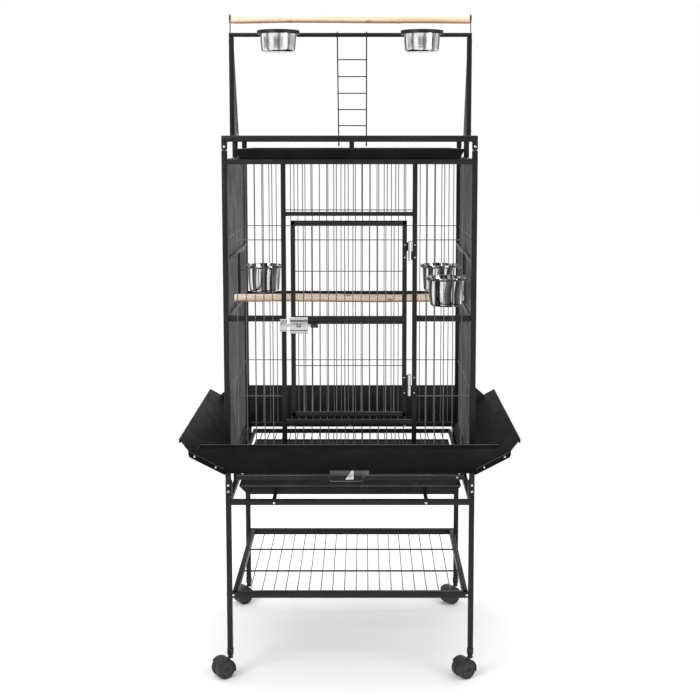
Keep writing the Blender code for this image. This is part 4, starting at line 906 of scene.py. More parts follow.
def latch_channel(node, slack):
    """A pressed plate with a raised box that the bolt slides through."""
    (left, front, low), (right, back, high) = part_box(node)
    inner = LATCH_BOX + slack
    outer = inner + LATCH_WALL
    parts = [bar((left, back - LATCH_PLATE, low), (right, back, high), 0.0004, 1)]
    for sign in (-1, 1):
        near, far = LATCH_Z + sign * inner, LATCH_Z + sign * outer
        parts.append(bar((left, front, near), (right, back, far), 0.0004, 2))
    parts.append(bar((left, front, LATCH_Z - outer), (right, front + LATCH_WALL, LATCH_Z + outer), 0.0005, 2))
    parts.append(bar((left, LATCH_BACK + slack, LATCH_Z - inner), (right, back, LATCH_Z + inner), 0.0001, 1))
    inset = min(0.006, (right - left) * 0.28)
    for x in (left + inset, right - inset):
        for z in (low + 0.0042, high - 0.0042):
            parts.append(screw_head((x, back - LATCH_PLATE, z), FACING_FRONT, 0.0026))
    return parts


def latch_painted_shadow_lines(node):
    """Painted shadow: dark strips along the top and bottom of the latch's raised box."""
    (left, _, _), (right, back, _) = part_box(node)
    parts = []
    for middle in (LATCH_Z - LATCH_SHADOW_Z, LATCH_Z + LATCH_SHADOW_Z):
        low = (left + 0.0006, back - 0.0016, middle - LATCH_SHADOW_TALL)
        parts.append(bar(low, (right - 0.0006, back - 0.0008, middle + LATCH_SHADOW_TALL), 0.0003, 1))
    return parts


def make_latch_window():
    """The lanced tongue in the middle of the latch's box, set on a dark plate that paints the shade in the
    opening round it.
    """
    (left, front, _), (right, _, _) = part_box("latch_plate")
    middle = (left + right) / 2
    # a dark plate proud of the box's face: painted shade in the lanced opening
    painted_hole_shade = bar((middle - 0.0058, front - 0.0003, LATCH_Z - 0.0042),
               (middle + 0.0058, front + 0.0006, LATCH_Z + 0.0042), 0.0002, 1)
    tongue = bar((middle - 0.0034, front - 0.0009, LATCH_Z - 0.0006),
                 (middle + 0.0034, front, LATCH_Z + 0.0026), 0.0003, 2)
    fit("latch_window_painted_shade", [painted_hole_shade], "frame coat", "door", "latch_plate")
    fit("latch_tongue", [tongue], "zinc", "door", "latch_plate")


def make_latch_bolt():
    """The flat bolt and its ribbed knob, which lies along the bolt."""
    low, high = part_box("latch_bolt")
    bolt = bar((low.x, LATCH_BACK - 0.003, LATCH_Z - 0.004),
               (high.x - 0.0100, LATCH_BACK, LATCH_Z + 0.004), 0.0008)
    rib, groove = KNOB_R, KNOB_R - 0.0006
    knob = turned([
        (0, 0), (0.0040, 0), (0.0050, 0.0010), (rib, 0.0030), (groove, 0.0042), (rib, 0.0054),
        (groove, 0.0070), (rib, 0.0084), (groove, 0.0100), (rib, 0.0116), (rib, 0.0160),
        (0.0044, KNOB_LONG - 0.0004), (0, KNOB_LONG),
    ], 28, (high.x - 0.0124, LATCH_BACK - 0.0054, LATCH_Z), (1, 0, 0))
    fit("latch_bolt_slide", [bolt], "zinc", "latch_bolt", "latch_bolt")
    fit("latch_bolt_knob", [knob], "nylon", "latch_bolt", "latch_bolt")


def make_latch():
    fit("latch_plate_channel", latch_channel("latch_plate", 0.0004), "zinc", "door", "latch_plate")
    make_latch_window()
    # dark strips of painted shadow along each latch box
    fit("latch_plate_painted_shadow", latch_painted_shadow_lines("latch_plate"), "frame coat", "door")
    fit("latch_keeper_painted_shadow", latch_painted_shadow_lines("latch_keeper"), "frame coat", "cage")
    fit("latch_keeper_channel", latch_channel("latch_keeper", 0.0008), "zinc", "cage", "latch_keeper")
    make_latch_bolt()


# ------------------------------------------------------------------ cups and feeder doors
def cup(node, body):
    """A pressed stainless cup: rounded foot, tapered wall and a rolled rim."""
    low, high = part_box(node)
    centre = (low + high) / 2
    foot = low.z
    wall_foot = 0.0425 if high.z - foot > 0.06 else 0.0440
    round_foot = 0.007
    outline = [(0, foot + 0.0016), (wall_foot * 0.55, foot + 0.0014), (wall_foot * 0.70, foot + 0.0004),
               (wall_foot - round_foot, foot)]
    for i in range(1, 6):
        turn = math.radians(90 * i / 5)
        outline.append(
            (wall_foot - round_foot * (1 - math.sin(turn)), foot + round_foot * (1 - math.cos(turn))))
    shoulder = high.z - 0.0022
    outline += [
        (wall_foot + (CUP_TOP_R - wall_foot) * 0.5, (foot + shoulder) / 2), (CUP_TOP_R - 0.0004, shoulder),
        (CUP_TOP_R + 0.0004, high.z - 0.0006), (CUP_TOP_R + 0.0020, high.z), (CUP_RIM_R - 0.0014, high.z),
        (CUP_RIM_R - 0.0003, high.z - 0.0005), (CUP_RIM_R, high.z - 0.0014), (CUP_RIM_R, high.z - RIM_TALL)]
    wall = turned(outline, 72, (centre.x, centre.y, 0))
    thicken(wall, CUP_SHEET, -1)
    around = wall.data.attributes.new("round_wall", "FLOAT_VECTOR", "POINT")
    for corner, mark in zip(wall.data.vertices, around.data):
        across, along, up = corner.co - Vector((centre.x, centre.y, foot))
        mark.vector = (across / CUP_RIM_R, along / CUP_RIM_R, up / (high.z - foot))
    # The play-top cups take the stainless copy painted with brighter reflections, the feeder cups the copy
    # painted darker.
    finish = "open stainless" if node.startswith("top") else "stainless"
    fit(f"{node}_pressed", [wall], finish, body, node, smooth=50)


def cup_band(centre, rim_z):
    """The flat band that a cup hangs in, just under its rim."""
    top = rim_z - RIM_TALL - GAP
    low = top - RING_TALL
    round_off = 0.0008
    return turned([
        (RING_IN, low + round_off), (RING_IN + round_off, low), (RING_OUT - round_off, low),
        (RING_OUT, low + round_off), (RING_OUT, top - round_off), (RING_OUT - round_off, top),
        (RING_IN + round_off, top), (RING_IN, top - round_off), (RING_IN, low + round_off)], 72, (*centre, 0))


def cup_collar(centre, rim_z):
    """The deeper ring of a play-top cup: a shelf under the rim and a lip that stands round it."""
    under, low = rim_z - RIM_TALL - GAP, rim_z - COLLAR_TALL
    inner, outer = CUP_RIM_R + 0.0003, CUP_RIM_R + 0.0014
    return turned([
        (RING_IN, low + 0.0008), (RING_IN + 0.0008, low), (outer - 0.0008, low), (outer, low + 0.0008),
        (outer, rim_z - 0.0008), (outer - 0.0004, rim_z - 0.0003), (inner, rim_z - 0.0006), (inner, under),
        (RING_IN, under), (RING_IN, low + 0.0008)], 72, (*centre, 0))


def make_feeder(word, side, way):
    node, held = f"feeder_door_{word}", f"feeder_cup_{word}"
    low_cup, high_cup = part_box(held)
    centre = (low_cup + high_cup) / 2
    low_z, high_z = MID_TOP + 0.0015, FEEDER_RAIL_LOW - 0.0015
    near, far = way * (FEEDER_NEAR + 0.0005), way * (FEEDER_FAR - 0.0015)
    low_y, high_y = sorted((near, far))
    face = side * (HALF_W - WIRE_IN - WIRE / 2)
    inner = face - side * FEEDER_BAR
    parts = [bar((face, y, low_z), (inner, y + deep, high_z), 0.0012)
             for y, deep in ((low_y, FEEDER_BAR), (high_y, -FEEDER_BAR))]
    parts += [bar((face, low_y + BITE, z), (inner, high_y - BITE, z + tall), 0.0012)
              for z, tall in ((low_z, FEEDER_BAR), (high_z, -FEEDER_BAR))]
    middle = (face + inner) / 2
    parts.append(wire_row((middle, 0, low_z + FEEDER_BAR - BITE), (middle, 0, high_z - FEEDER_BAR + BITE),
                          low_y + FEEDER_BAR, high_y - FEEDER_BAR, axis=1))
    parts.append(cup_band((centre.x, centre.y), high_cup.z))
    top = high_cup.z - RIM_TALL - GAP
    arm_near = side * (abs(centre.x) + CUP_TOP_R + 0.0025)
    parts.append(bar((arm_near, low_y + BITE, top - RING_TALL + 0.0005),
                     (middle, high_y - BITE, top - 0.0005), 0.0008, 2))
    for y in (low_y + 0.0025, high_y - 0.0025):
        parts.append(bead((middle, y - 0.002, top - 0.0048), (middle, y + 0.002, top - 0.0048), 0.0012))
    fit(f"{node}_wires", parts, "sheen-painted wire coat", node, node)
    cup(held, held)


# ------------------------------------------------------------------ play top
def make_deck():
    corner = 0.0030
    parts = [bar((-HALF_W, way * BACK, DECK_LOW), (HALF_W, way * IN_Y, DECK_TOP), corner) for way in (-1, 1)]
    parts += [bar((way * HALF_W, -IN_Y - BITE, DECK_LOW), (way * IN_X, IN_Y + BITE, DECK_TOP), corner)
              for way in (-1, 1)]
    top = DECK_LOW + 0.002
    for sx in (-1, 1):
        for sy in (-1, 1):
            parts.append(bar((sx * HALF_W, sy * BACK, POST_TOP + 0.0034), (sx * IN_X, sy * IN_Y, top)))
            parts.append(bar((sx * (HALF_W - 0.0016), sy * (BACK - 0.0016), POST_TOP + GAP),
                             (sx * (IN_X + 0.0016), sy * (IN_Y + 0.0016), POST_TOP + 0.005)))
            parts.append(bead((sx * (IN_X - 0.0002), sy * BACK * 0.998, DECK_LOW),
                              (sx * (IN_X - 0.0002), sy * IN_Y * 1.004, DECK_LOW), 0.0012))
        parts.append(bar((sx * HALF_W, -TUBE / 2, ROOF_TOP + GAP), (sx * IN_X, TUBE / 2, top)))
    parts.append(bar((-TUBE / 2, IN_Y, ROOF_TOP + GAP), (TUBE / 2, BACK, top)))
    fit("playtop_deck_ring", parts, "frame coat", "cage", "playtop_frame")


def strut(start, end, wide, deep, edge=0.0010):
    """A flat bar between two points in a plane of constant X."""
    start, end = Vector(start), Vector(end)
    way = end - start
    lean = math.atan2(-way.y, way.z)
    bpy.ops.mesh.primitive_cube_add(
        size=1, location=(start + end) / 2, rotation=(lean, 0, 0), scale=(deep, wide, way.length))
    piece = settle()
    edit(piece, "EDGE")
    ease(edge, 2)
    return close(piece)


def make_arch_side(word, side):
    """An upright with its plug, and the tapering wire screen that is welded behind it."""
    low = ARCH_FOOT
    half = ARCH_TUBE / 2
    x = side * (HALF_W - half)
    parts = [bar((side * HALF_W, ARCH_Y - half, low),
                 (side * (HALF_W - ARCH_TUBE), ARCH_Y + half, ARCH_TOP), 0.0018)]
    start = ARCH_Y + half
    slope = (ARCH_BACK_LOW - ARCH_BACK_TOP) / (ARCH_TOP - low)

    def back_edge(z):
        return ARCH_BACK_LOW - slope * (z - low) - ARCH_BAR / 2

    for y in (ARCH_Y - half, ARCH_Y + half):
        parts.append(bead((x - half * 0.8, y, low + 0.0004), (x + half * 0.8, y, low + 0.0004), 0.0012))
    fit(f"playtop_upright_{word}", parts, "frame coat", "cage", f"playtop_side_{word}")
    flat = 0.005
    left, right = x - flat / 2, x + flat / 2
    foot, head = low + 0.002, ARCH_TOP - 0.001
    parts = [
        bar((left, start - BITE, low), (right, ARCH_BACK_LOW, low + ARCH_BAR), 0.0010, 2),
        bar((left, start - BITE, ARCH_TOP - ARCH_BAR),
            (right, back_edge(ARCH_TOP) + 0.002, ARCH_TOP), 0.0010, 2),
        strut((x, back_edge(foot), foot), (x, back_edge(head), head), ARCH_BAR * 0.98, flat),
    ]
    gaps = round((back_edge(low) - ARCH_BAR / 2 - start) / PITCH)
    step = (back_edge(low) - ARCH_BAR / 2 - start) / gaps
    for i in range(1, gaps):
        y = start + step * i
        top = min(ARCH_TOP - ARCH_BAR, low + (ARCH_BACK_LOW - ARCH_BAR - y) / slope) + 0.003
        parts.append(wire((x, y, low + ARCH_BAR - BITE), (x, y, top)))
    for z in (low + (ARCH_TOP - low) * share for share in (0.34, 0.67)):
        parts.append(wire((x + side * WIRE * 0.7, start - BITE, z), (x + side * WIRE * 0.7, back_edge(z), z)))
    fit(f"playtop_screen_{word}", parts, "sheen-painted wire coat", "cage", f"playtop_side_{word}")


def make_crossbar():
    reach = HALF_W
    parts = [turned([
        (0, -reach), (BAR_R - 0.0012, -reach), (BAR_R, -reach + 0.0010), (BAR_R, reach - 0.0010),
        (BAR_R - 0.0012, reach), (0, reach)], 32, (0, ARCH_Y, BAR_Z), (1, 0, 0))]
    fit("playtop_crossbar_tube", parts, "frame coat", "cage", "playtop_crossbar")


def make_perch_bracket(word, side):
    node = f"perch_bracket_{word}"
    low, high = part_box(node)
    middle = (low.x + high.x) / 2
    thick = high.x - low.x
    disc_r = 0.0120
    half = thick / 2
    washer = turned([
        (0, -half), (disc_r - 0.0008, -half), (disc_r, -half + 0.0008), (disc_r, half - 0.0008),
        (disc_r - 0.0008, half), (0.0052, half), (0.0048, half - 0.0006), (0, half - 0.0006),
    ], 40, (middle, ARCH_Y, PERCH_Z), (side, 0, 0))
    strap = bar((low.x + 0.0004, ARCH_Y - 0.0035, low.z),
                (high.x - 0.0004, ARCH_Y + 0.0035, PERCH_Z - disc_r * 0.6), 0.0008, 2)
    fit(f"{node}_washer", [washer, strap], "frame coat", "cage", node)


def branch(name, node, radius, place, bow, swellings, body="cage"):
    """A peeled branch laid along X: a round rod drawn out in short steps that bows and swells."""
    low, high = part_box(node)
    steps = 44
    sides = 28
    left, right = low.x, high.x
    length = right - left
    chamfer = radius * 0.16
    spots = [(left, 0.84), (left + chamfer, 0.97)]
    spots += [(left + length * i / steps, 1.0) for i in range(1, steps)]
    spots += [(right - chamfer, 0.97), (right, 0.84)]

    def girth(x):
        share = (x - left) / length
        knots = sum(size * math.exp(-((share - spot) / 0.012) ** 2) for spot, size in swellings)
        return 0.965 + 0.018 * math.sin(share * 9.1 + radius * 900) + 0.012 * math.sin(share * 23.0) + knots

    def centre(x):
        share = (x - left) / length
        sway = 0.0012 * math.sin(share * 7.3) * math.sin(math.pi * share)
        return Vector((x, place[0] + sway * 0.6, place[1] + bow * math.sin(math.pi * share) + sway))

    bpy.ops.mesh.primitive_circle_add(
        vertices=sides, radius=radius, fill_type="NGON", location=centre(left), rotation=(0, math.pi / 2, 0))
    piece = settle()
    edit(piece, "FACE")
    now = 1.0
    for (x, taper), (before, _) in zip(spots, [spots[0]] + spots[:-1]):
        if x != before:
            draw_out(centre(x) - centre(before))
        wanted = taper * girth(x)
        swell(wanted / now, centre(x))
        now = wanted
    bpy.ops.mesh.select_all(action="SELECT")
    bpy.ops.mesh.normals_make_consistent(inside=False)
    close(piece)
    lumps = bpy.data.textures.new(f"{name}_lumps", "CLOUDS")
    lumps.noise_scale = 0.016
    lumps.noise_depth = 1
    rough = piece.modifiers.new("lumps", "DISPLACE")
    rough.texture = lumps
    rough.texture_coords = "GLOBAL"
    rough.strength = radius * 0.07
    rough.mid_level = 0.75
    bpy.ops.object.modifier_apply(modifier=rough.name)
    fit(name, [piece], "wood", body, node, smooth=60)


def make_perches():
    branch("playtop_perch_branch", "playtop_perch", PERCH_R * 1.22, (ARCH_Y, PERCH_Z - 0.0028), 0.0024,
           ((0.13, 0.035), (0.37, 0.045), (0.52, 0.02), (0.71, 0.05), (0.88, 0.03)))
    branch("inner_perch_branch", "inner_perch", INNER_PERCH_R * 1.14, (INNER_PERCH_Y, INNER_PERCH_Z), 0.0,
           ((0.10, 0.04), (0.29, 0.03), (0.46, 0.055), (0.64, 0.03), (0.83, 0.045)))


def make_ladder():
    """Two hooked rails with round rungs welded between them, and soft caps on the feet."""
    hook_r = BAR_R + GAP + LADDER_R
    lean = math.atan2(LADDER_FOOT.y - ARCH_Y, BAR_Z - LADDER_FOOT.z)
    arc = [lean + math.pi * i / 12 for i in range(13)]
    hook = [Vector((0, ARCH_Y + hook_r * math.cos(a), BAR_Z + hook_r * math.sin(a))) for a in arc]
    length = (hook[0].z - LADDER_FOOT.z - 0.001) / math.cos(lean)
    foot = hook[0] + Vector((0, math.sin(lean), -math.cos(lean))) * length
    down = (foot - hook[0]).normalized()
    parts = []
    for x in LADDER_X:
        across = Vector((x, 0, 0))
        parts.append(bent_wire([across + point for point in [foot] + hook], LADDER_R * 1.12, 3))
        cap = [(0, 0), (0.0020, 0.0002), (0.0022, 0.0010), (0.0022, 0.0080), (LADDER_R, 0.0086)]
        parts.append(turned(cap, 14, across + foot, -down))
    for i in range(RUNGS):
        z = RUNG_TOP_Z - RUNG_DROP * i
        y = hook[0].y + (hook[0].z - z) * math.tan(lean)
        parts.append(wire((LADDER_X[0], y, z), (LADDER_X[1], y, z), LADDER_R, 12, 0.0016))
    fit("ladder_wires", parts, "frame coat", "ladder", "ladder", smooth=50)


def make_top_ring(word):
    """The band for a play-top cup and the bent clip that hooks it over the crossbar."""
    node, held = f"top_cup_ring_{word}", f"top_cup_{word}"
    low_cup, high_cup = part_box(held)
    x, y = (low_cup.x + high_cup.x) / 2, (low_cup.y + high_cup.y) / 2
    top = high_cup.z - RIM_TALL - GAP
    bar_front = ARCH_Y - BAR_R - GAP
    wide, plate = 0.012, 0.0020
    over = BAR_Z + BAR_R + GAP
    section = [(bar_front - plate, top - 0.012), (bar_front, top - 0.012), (bar_front, over),
               (ARCH_Y + BAR_R, over), (ARCH_Y + BAR_R, over + plate), (bar_front - plate, over + plate)]
    parts = [cup_collar((x, y), high_cup.z)]
    parts.append(pressed([(x - wide, across, z) for across, z in section], (2 * wide, 0, 0), 0.0006))
    left, right, weld = x - 0.006, x + 0.006, bar_front - plate
    parts.append(bar((left, y + CUP_TOP_R + 0.0025, top - RING_TALL + 0.0004),
                     (right, bar_front - plate / 2, top - 0.0004), 0.0008, 2))
    parts.append(bead((left, weld, top - RING_TALL), (right, weld, top - RING_TALL), 0.0012))
    fit(f"{node}_clip", parts, "frame coat", "cage", node)
    cup(held, held)


# ------------------------------------------------------------------ guards, trays and grate
def make_guard(word, half, face, turn):
    """A sloping seed guard: one sheet with a foot flange, a folded rim and mitred corner flanges."""
    node = f"seed_guard_{word}"
    tilt = math.atan2(GUARD_RISE, GUARD_OUT)
    root = -face - GAP - SHEET * math.sin(tilt)
    tip = half + GUARD_MITRE - 0.0010
    past = half + GUARD_PAST
    rim_out = GUARD_OUT - 0.0005

    def on_sheet(x, out):
        return Vector((x, root - out, GUARD_LOW + out * GUARD_SLOPE))

    outline = [on_sheet(-half + 0.001, 0), on_sheet(half - 0.001, 0), on_sheet(tip, GUARD_MITRE),
               on_sheet(past, rim_out), on_sheet(-past, rim_out), on_sheet(-tip, GUARD_MITRE)]
    piece = profile_line(outline)
    bpy.ops.mesh.edge_face_add()
    close(piece)
    edit(piece, "EDGE", lambda middle, way: abs(way.x) > 0.99 and middle.y < root - GUARD_OUT + 0.001)
    draw_out((0, 0.0002, -LIP))
    draw_out((0, 0.0035, 0.0012))
    close(piece)
    edit(piece, "EDGE", lambda middle, way: (
        abs(way.x) > 0.99 and middle.y > root - 0.001 and middle.z > GUARD_LOW - 0.001))
    draw_out((0, 0, -FLANGE))
    close(piece)
    for sign in (-1, 1):
        fold = (on_sheet(sign * tip, GUARD_MITRE) - on_sheet(sign * (half - 0.001), 0)).normalized()
        edit(piece, "EDGE", lambda middle, way: abs(way.dot(fold)) > 0.999 and middle.x * sign > 0)
        draw_out((-sign * 0.0010, 0.0002, -CORNER_FLANGE))
        close(piece)
    low_end = GUARD_LOW - CORNER_FLANGE

    def flange_corner(corner):
        hangs = abs(corner.x) > half + 0.03 and corner.z < on_sheet(0, root - corner.y).z - 0.008
        return hangs and abs(corner.y - (root - GUARD_MITRE)) < 0.004 or corner.z < low_end + 0.001

    edit(piece, "VERT", flange_corner)
    ease(0.006, 4, corners=True)
    close(piece)
    edit(piece, "EDGE", lambda middle, way: abs(way.x) > 0.99 and (
        abs(middle.y - root) < 0.0005 and middle.z > GUARD_LOW - 0.001
        or abs(middle.z - on_sheet(0, rim_out).z) < 0.0005))
    ease(0.0012, 3)
    close(piece)
    thicken(piece, SHEET * 0.9, 0)
    dull(piece, 0.0003, 1)
    piece.rotation_euler = (0, 0, math.radians(turn))
    settle()
    fit(f"{node}_folded", [piece], "sheet coat", "cage", node)
    # A thin pale wire along the rim: a painted highlight on the guard's lip.
    place = Matrix.Rotation(math.radians(turn), 4, "Z")
    tucked = Vector((0, 0.0004, -0.0002))
    rim = [place @ (on_sheet(sign * (past - 0.002), rim_out) + tucked) for sign in (-1, 1)]
    fit(f"{node}_rim", [wire(*rim, RIM_HIGHLIGHT_R, 8)], "sheen-painted wire coat", "cage")


def make_guards():
    make_guard("front", HALF_W, BACK, 0)
    make_guard("right", BACK, HALF_W, 90)
    make_guard("back", HALF_W, BACK, 180)
    make_guard("left", BACK, HALF_W, 270)


def make_tray(node, slope_x, slope_y, hem):
    """A pan folded from one sheet: sloping walls with a hemmed rim."""
    low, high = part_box(node)
    centre, size = (low + high) / 2, high - low
    floor_x, floor_y = size.x / 2 - slope_x, size.y / 2 - slope_y
    bpy.ops.mesh.primitive_plane_add(size=2, location=(centre.x, centre.y, low.z))
    bpy.context.object.scale = (floor_x, floor_y, 1)
    piece = settle()
    edit(piece, "EDGE")
    draw_out((0, 0, size.z))
    swell(((floor_x + slope_x) / floor_x, (floor_y + slope_y) / floor_y, 1), (centre.x, centre.y, high.z))
    close(piece)
    edit(piece, "EDGE", lambda middle, way: abs(way.z) < 0.5 and middle.z > high.z - 0.0005)
    draw_out((0, 0, -hem))
    fold_x, fold_y = (1 - 0.0022 / (side / 2) for side in (size.x, size.y))
    swell((fold_x, fold_y, 1), (centre.x, centre.y, high.z))
    close(piece)
    edit(piece, "EDGE", lambda middle, way: middle.z > low.z - 1)
    ease(0.0012, 3)
    close(piece)
    thicken(piece, SHEET * 0.75, 1)
    fit(f"{node}_folded", [piece], "sheet coat", node, node)
    if node == "debris_tray":
        # A pale strip along the top of the debris tray's front: a painted highlight.
        edge = bar((low.x + 0.004, low.y - 0.0001, high.z - 0.0016),
                   (high.x - 0.004, low.y + 0.0016, high.z), 0.0006, 2)
        fit("debris_tray_painted_edge_highlight", [edge], "sheen-painted wire coat", node, node)


def make_runner(word):
    node = f"tray_runner_{word}"
    low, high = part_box(node)
    thick = 0.0019
    front = FRONT - GAP
    section = [(high.y, high.z - thick), (high.y, high.z), (low.y, high.z), (low.y, low.z), (front, low.z),
               (front, high.z - thick)]
    strap = pressed([(low.x, y, z) for y, z in section], (high.x - low.x, 0, 0), 0.0006)
    fit(f"{node}_strap", [strap], "frame coat", "cage", node)


def make_grate():
    low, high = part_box("grate")
    front, back = low.y, high.y
    front_bar = 0.012
    parts = [
        bar((low.x, front, low.z), (high.x, front + front_bar, high.z), 0.0018),
        bar((low.x, back - GRATE_BAR, low.z), (high.x, back, high.z), 0.0014),
    ]
    inside = GRATE_HALF - GRATE_BAR
    parts += [bar((way * GRATE_HALF, front + BITE, low.z), (way * inside, back - BITE, high.z), 0.0014)
              for way in (-1, 1)]
    z = high.z - 0.005
    parts.append(wire_row((0, front + front_bar - BITE, z), (0, back - GRATE_BAR + BITE, z), -inside, inside))
    under = z - WIRE * 1.3
    for y in (-0.004, 0.004):
        parts.append(wire((-inside - BITE, y, under), (inside + BITE, y, under)))
    fit("grate_wires", parts, "frame coat", "grate", "grate")
    # A pale strip along the top of the grate's front bar: a painted highlight.
    edge = bar((low.x + 0.001, front - 0.0002, high.z - 0.0018),
               (high.x - 0.001, front + 0.0022, high.z + 0.0001), 0.0008, 2)
    fit("grate_painted_edge_highlight", [edge], "sheen-painted wire coat", "grate", "grate")
    stop = screw_head((0.277, front, (low.z + high.z) / 2 + 0.001), FACING_FRONT, 0.0030)
    fit("grate_stop_screw", [stop], "zinc", "grate")


def make_grate_pull():
    low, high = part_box("grate_handle")
    radius = 0.0017
    left, right = low.x + radius, high.x - radius
    reach, bend = low.y + radius, 0.009
    root_z, out_z = high.z - radius, low.z + radius
    path = [(left, high.y, root_z), (left, reach, out_z), (right, reach, out_z), (right, high.y, root_z)]
    pull = bent_wire(eased_path(path, bend, 8), radius, 5)
    eye = [(0.0019, 0), (0.0034, 0), (0.0036, 0.0008), (0.0030, 0.0016), (0.0019, 0.0018), (0.0019, 0)]
    eyes = [turned(eye, 20, (x, high.y, root_z), FACING_FRONT) for x in (left, right)]
    fit("grate_pull_wire", [pull] + eyes, "sheen-painted wire coat", "grate", "grate_handle", smooth=50)


def make_grate_latch():
    low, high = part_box("grate_latch")
    z = GRATE_LOW + 0.004
    hook = [(-0.0128, -0.002), (0.0095, -0.002), (0.0098, 0.0215), (0.0040, 0.0225), (-0.0040, 0.010)]
    outline = rounded_outline([(x, LATCH_BACK, z + up) for x, up in hook], 0.0022)
    plate = pressed(outline, (0, -0.0010, 0), 0.0002, 1)
    neck, reach = high.y - LATCH_BACK + 0.0008, high.y - low.y
    stud = turned([
        (0, 0), (0.0025, 0), (0.0025, neck), (0.0032, neck), (0.0032, neck + 0.0008),
        (0.0024, reach - 0.0001), (0, reach)], 20, (0, high.y, z + 0.004), FACING_FRONT)
    fit("grate_latch_hook", [plate, stud], "zinc", "grate_latch", "grate_latch")


# ------------------------------------------------------------------ stand
def make_leg_frame(word, face, inward):
    node = f"stand_{word}_frame"
    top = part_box(node)[1].z
    inner = face + inward * TUBE
    parts = [bar((side * HALF_W, face, LEG_FOOT), (side * IN_X, inner, LEG_TOP)) for side in (-1, 1)]
    parts.append(bar((-IN_X - BITE, face, BRACE_LOW), (IN_X + BITE, inner, BRACE_TOP)))
    for side in (-1, 1):
        tongue = side * (IN_X - GAP)
        parts.append(bar((tongue, face, LEG_TOP - 0.020), (tongue - side * 0.002, inner, top), 0.0006, 2))
        x = side * (IN_X - 0.0003)
        for z in (BRACE_LOW, BRACE_TOP):
            parts.append(bead((x, face + inward * 0.002, z), (x, inner - inward * 0.002, z), 0.0011))
    fit(f"stand_{word}_legs", parts, "frame coat", "cage", node)


def make_side_rail(word, side):
    node = f"stand_side_rail_{word}"
    low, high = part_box(node)
    parts = [bar(low, high)]
    for y in (low.y, high.y):
        for z in (low.z, high.z):
            parts.append(bead((side * (HALF_W - 0.002), y, z), (side * (IN_X + 0.002), y, z), 0.0008))
    fit(f"{node}_tube", parts, "frame coat", "cage", node)


def make_shelf():
    low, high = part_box("shelf")
    tall = high.z - low.z
    parts = [bar((low.x, way * high.y, low.z), (high.x, way * (high.y - tall), high.z)) for way in (-1, 1)]
    parts += [bar((way * high.x, -high.y + BITE, low.z), (way * (high.x - TUBE), high.y - BITE, high.z))
              for way in (-1, 1)]
    z = high.z - 0.004
    reach = high.y - tall + BITE
    across = high.x - TUBE
    parts.append(wire_row((0, -reach, z), (0, reach, z), -across, across, pitch=SHELF_PITCH))
    under = z - WIRE * 1.15
    for y in (-BACK / 3, BACK / 3):
        parts.append(wire((-across - BITE, y, under), (across + BITE, y, under), WIRE * 0.95, 12))
    fit("shelf_wires", parts, "frame coat", "cage", "shelf")


def make_screws():
    """The bright pan-head screws that hold the stand, the cage and the trays together."""
    head = screw_head((0, 0, 0), FACING_FRONT, 0.0035)
    leg = HALF_W - TUBE / 2
    joint = (LEG_TOP + 0.0085, LEG_TOP - 0.0085)
    face_places = [(side * leg, z) for side in (-1, 1) for z in joint]
    face_places += [(side * 0.305, (SHELF_LOW + SHELF_TOP) / 2) for side in (-1, 1)]
    face_places += [(side * leg, POST_TOP + 0.010) for side in (-1, 1)]
    fronts = [(x, FRONT, z) for x, z in face_places]
    fronts += [(side * RUNNER_X, FRONT - GAP - 0.0019, BRACE_LOW + 0.0065) for side in (-1, 1)]
    parts = [copy_to(head, Matrix.Translation(place)) for place in fronts]
    half_turn = Matrix.Rotation(math.pi, 4, "Z")
    parts += [copy_to(head, half_turn @ Matrix.Translation((x, FRONT, z))) for x, z in face_places]
    for side in (-1, 1):
        outward = Matrix.Rotation(math.radians(90 * side), 4, "Z")
        places = [(ARCH_Y, ARCH_TOP - 0.010), (ARCH_Y, ARCH_FOOT + 0.012)]
        places += [(way * (BACK - TUBE / 2), z) for way in (-1, 1)
                   for z in (*joint, (SHELF_LOW + SHELF_TOP) / 2)]
        for y, z in places:
            parts.append(copy_to(head, Matrix.Translation((side * HALF_W, y, z)) @ outward))
    parts += guard_corner_screws()
    bpy.data.objects.remove(head)
    fit("assembly_screws", parts, "zinc", "cage", smooth=40)
    # pale wires down the guard mitres: painted highlights
    fit("guard_mitre_painted_highlights", guard_mitre_painted_highlights(), "sheen-painted wire coat", "cage")
    tab = bar((-0.052, FRONT - 0.0020, 0.5425), (0.049, FRONT - 0.0013, 0.5535), 0.0003, 1)
    fit("guard_foot_tab", [tab], "sheen-painted wire coat", "cage")


def on_mitre(sign, out):
    """A point on the fold where two guards meet, a distance out from the leg."""
    return Vector((sign * (HALF_W - 0.001 + out), GUARD_ROOT - out, GUARD_LOW + out * GUARD_SLOPE))


def guard_mitre_painted_highlights():
    """A painted highlight down each mitre, where two guards meet over a leg: a thin pale wire along the fold.
    """
    lift = Vector((0, -0.0006, -0.0008))
    edges = []
    for turn in (0, math.pi):
        place = Matrix.Rotation(turn, 4, "Z")
        for sign in (-1, 1):
            near, far = (place @ (on_mitre(sign, out) + lift) for out in (0.005, GUARD_MITRE - 0.002))
            edges.append(wire(near, far, 0.0008, 8))
    return edges


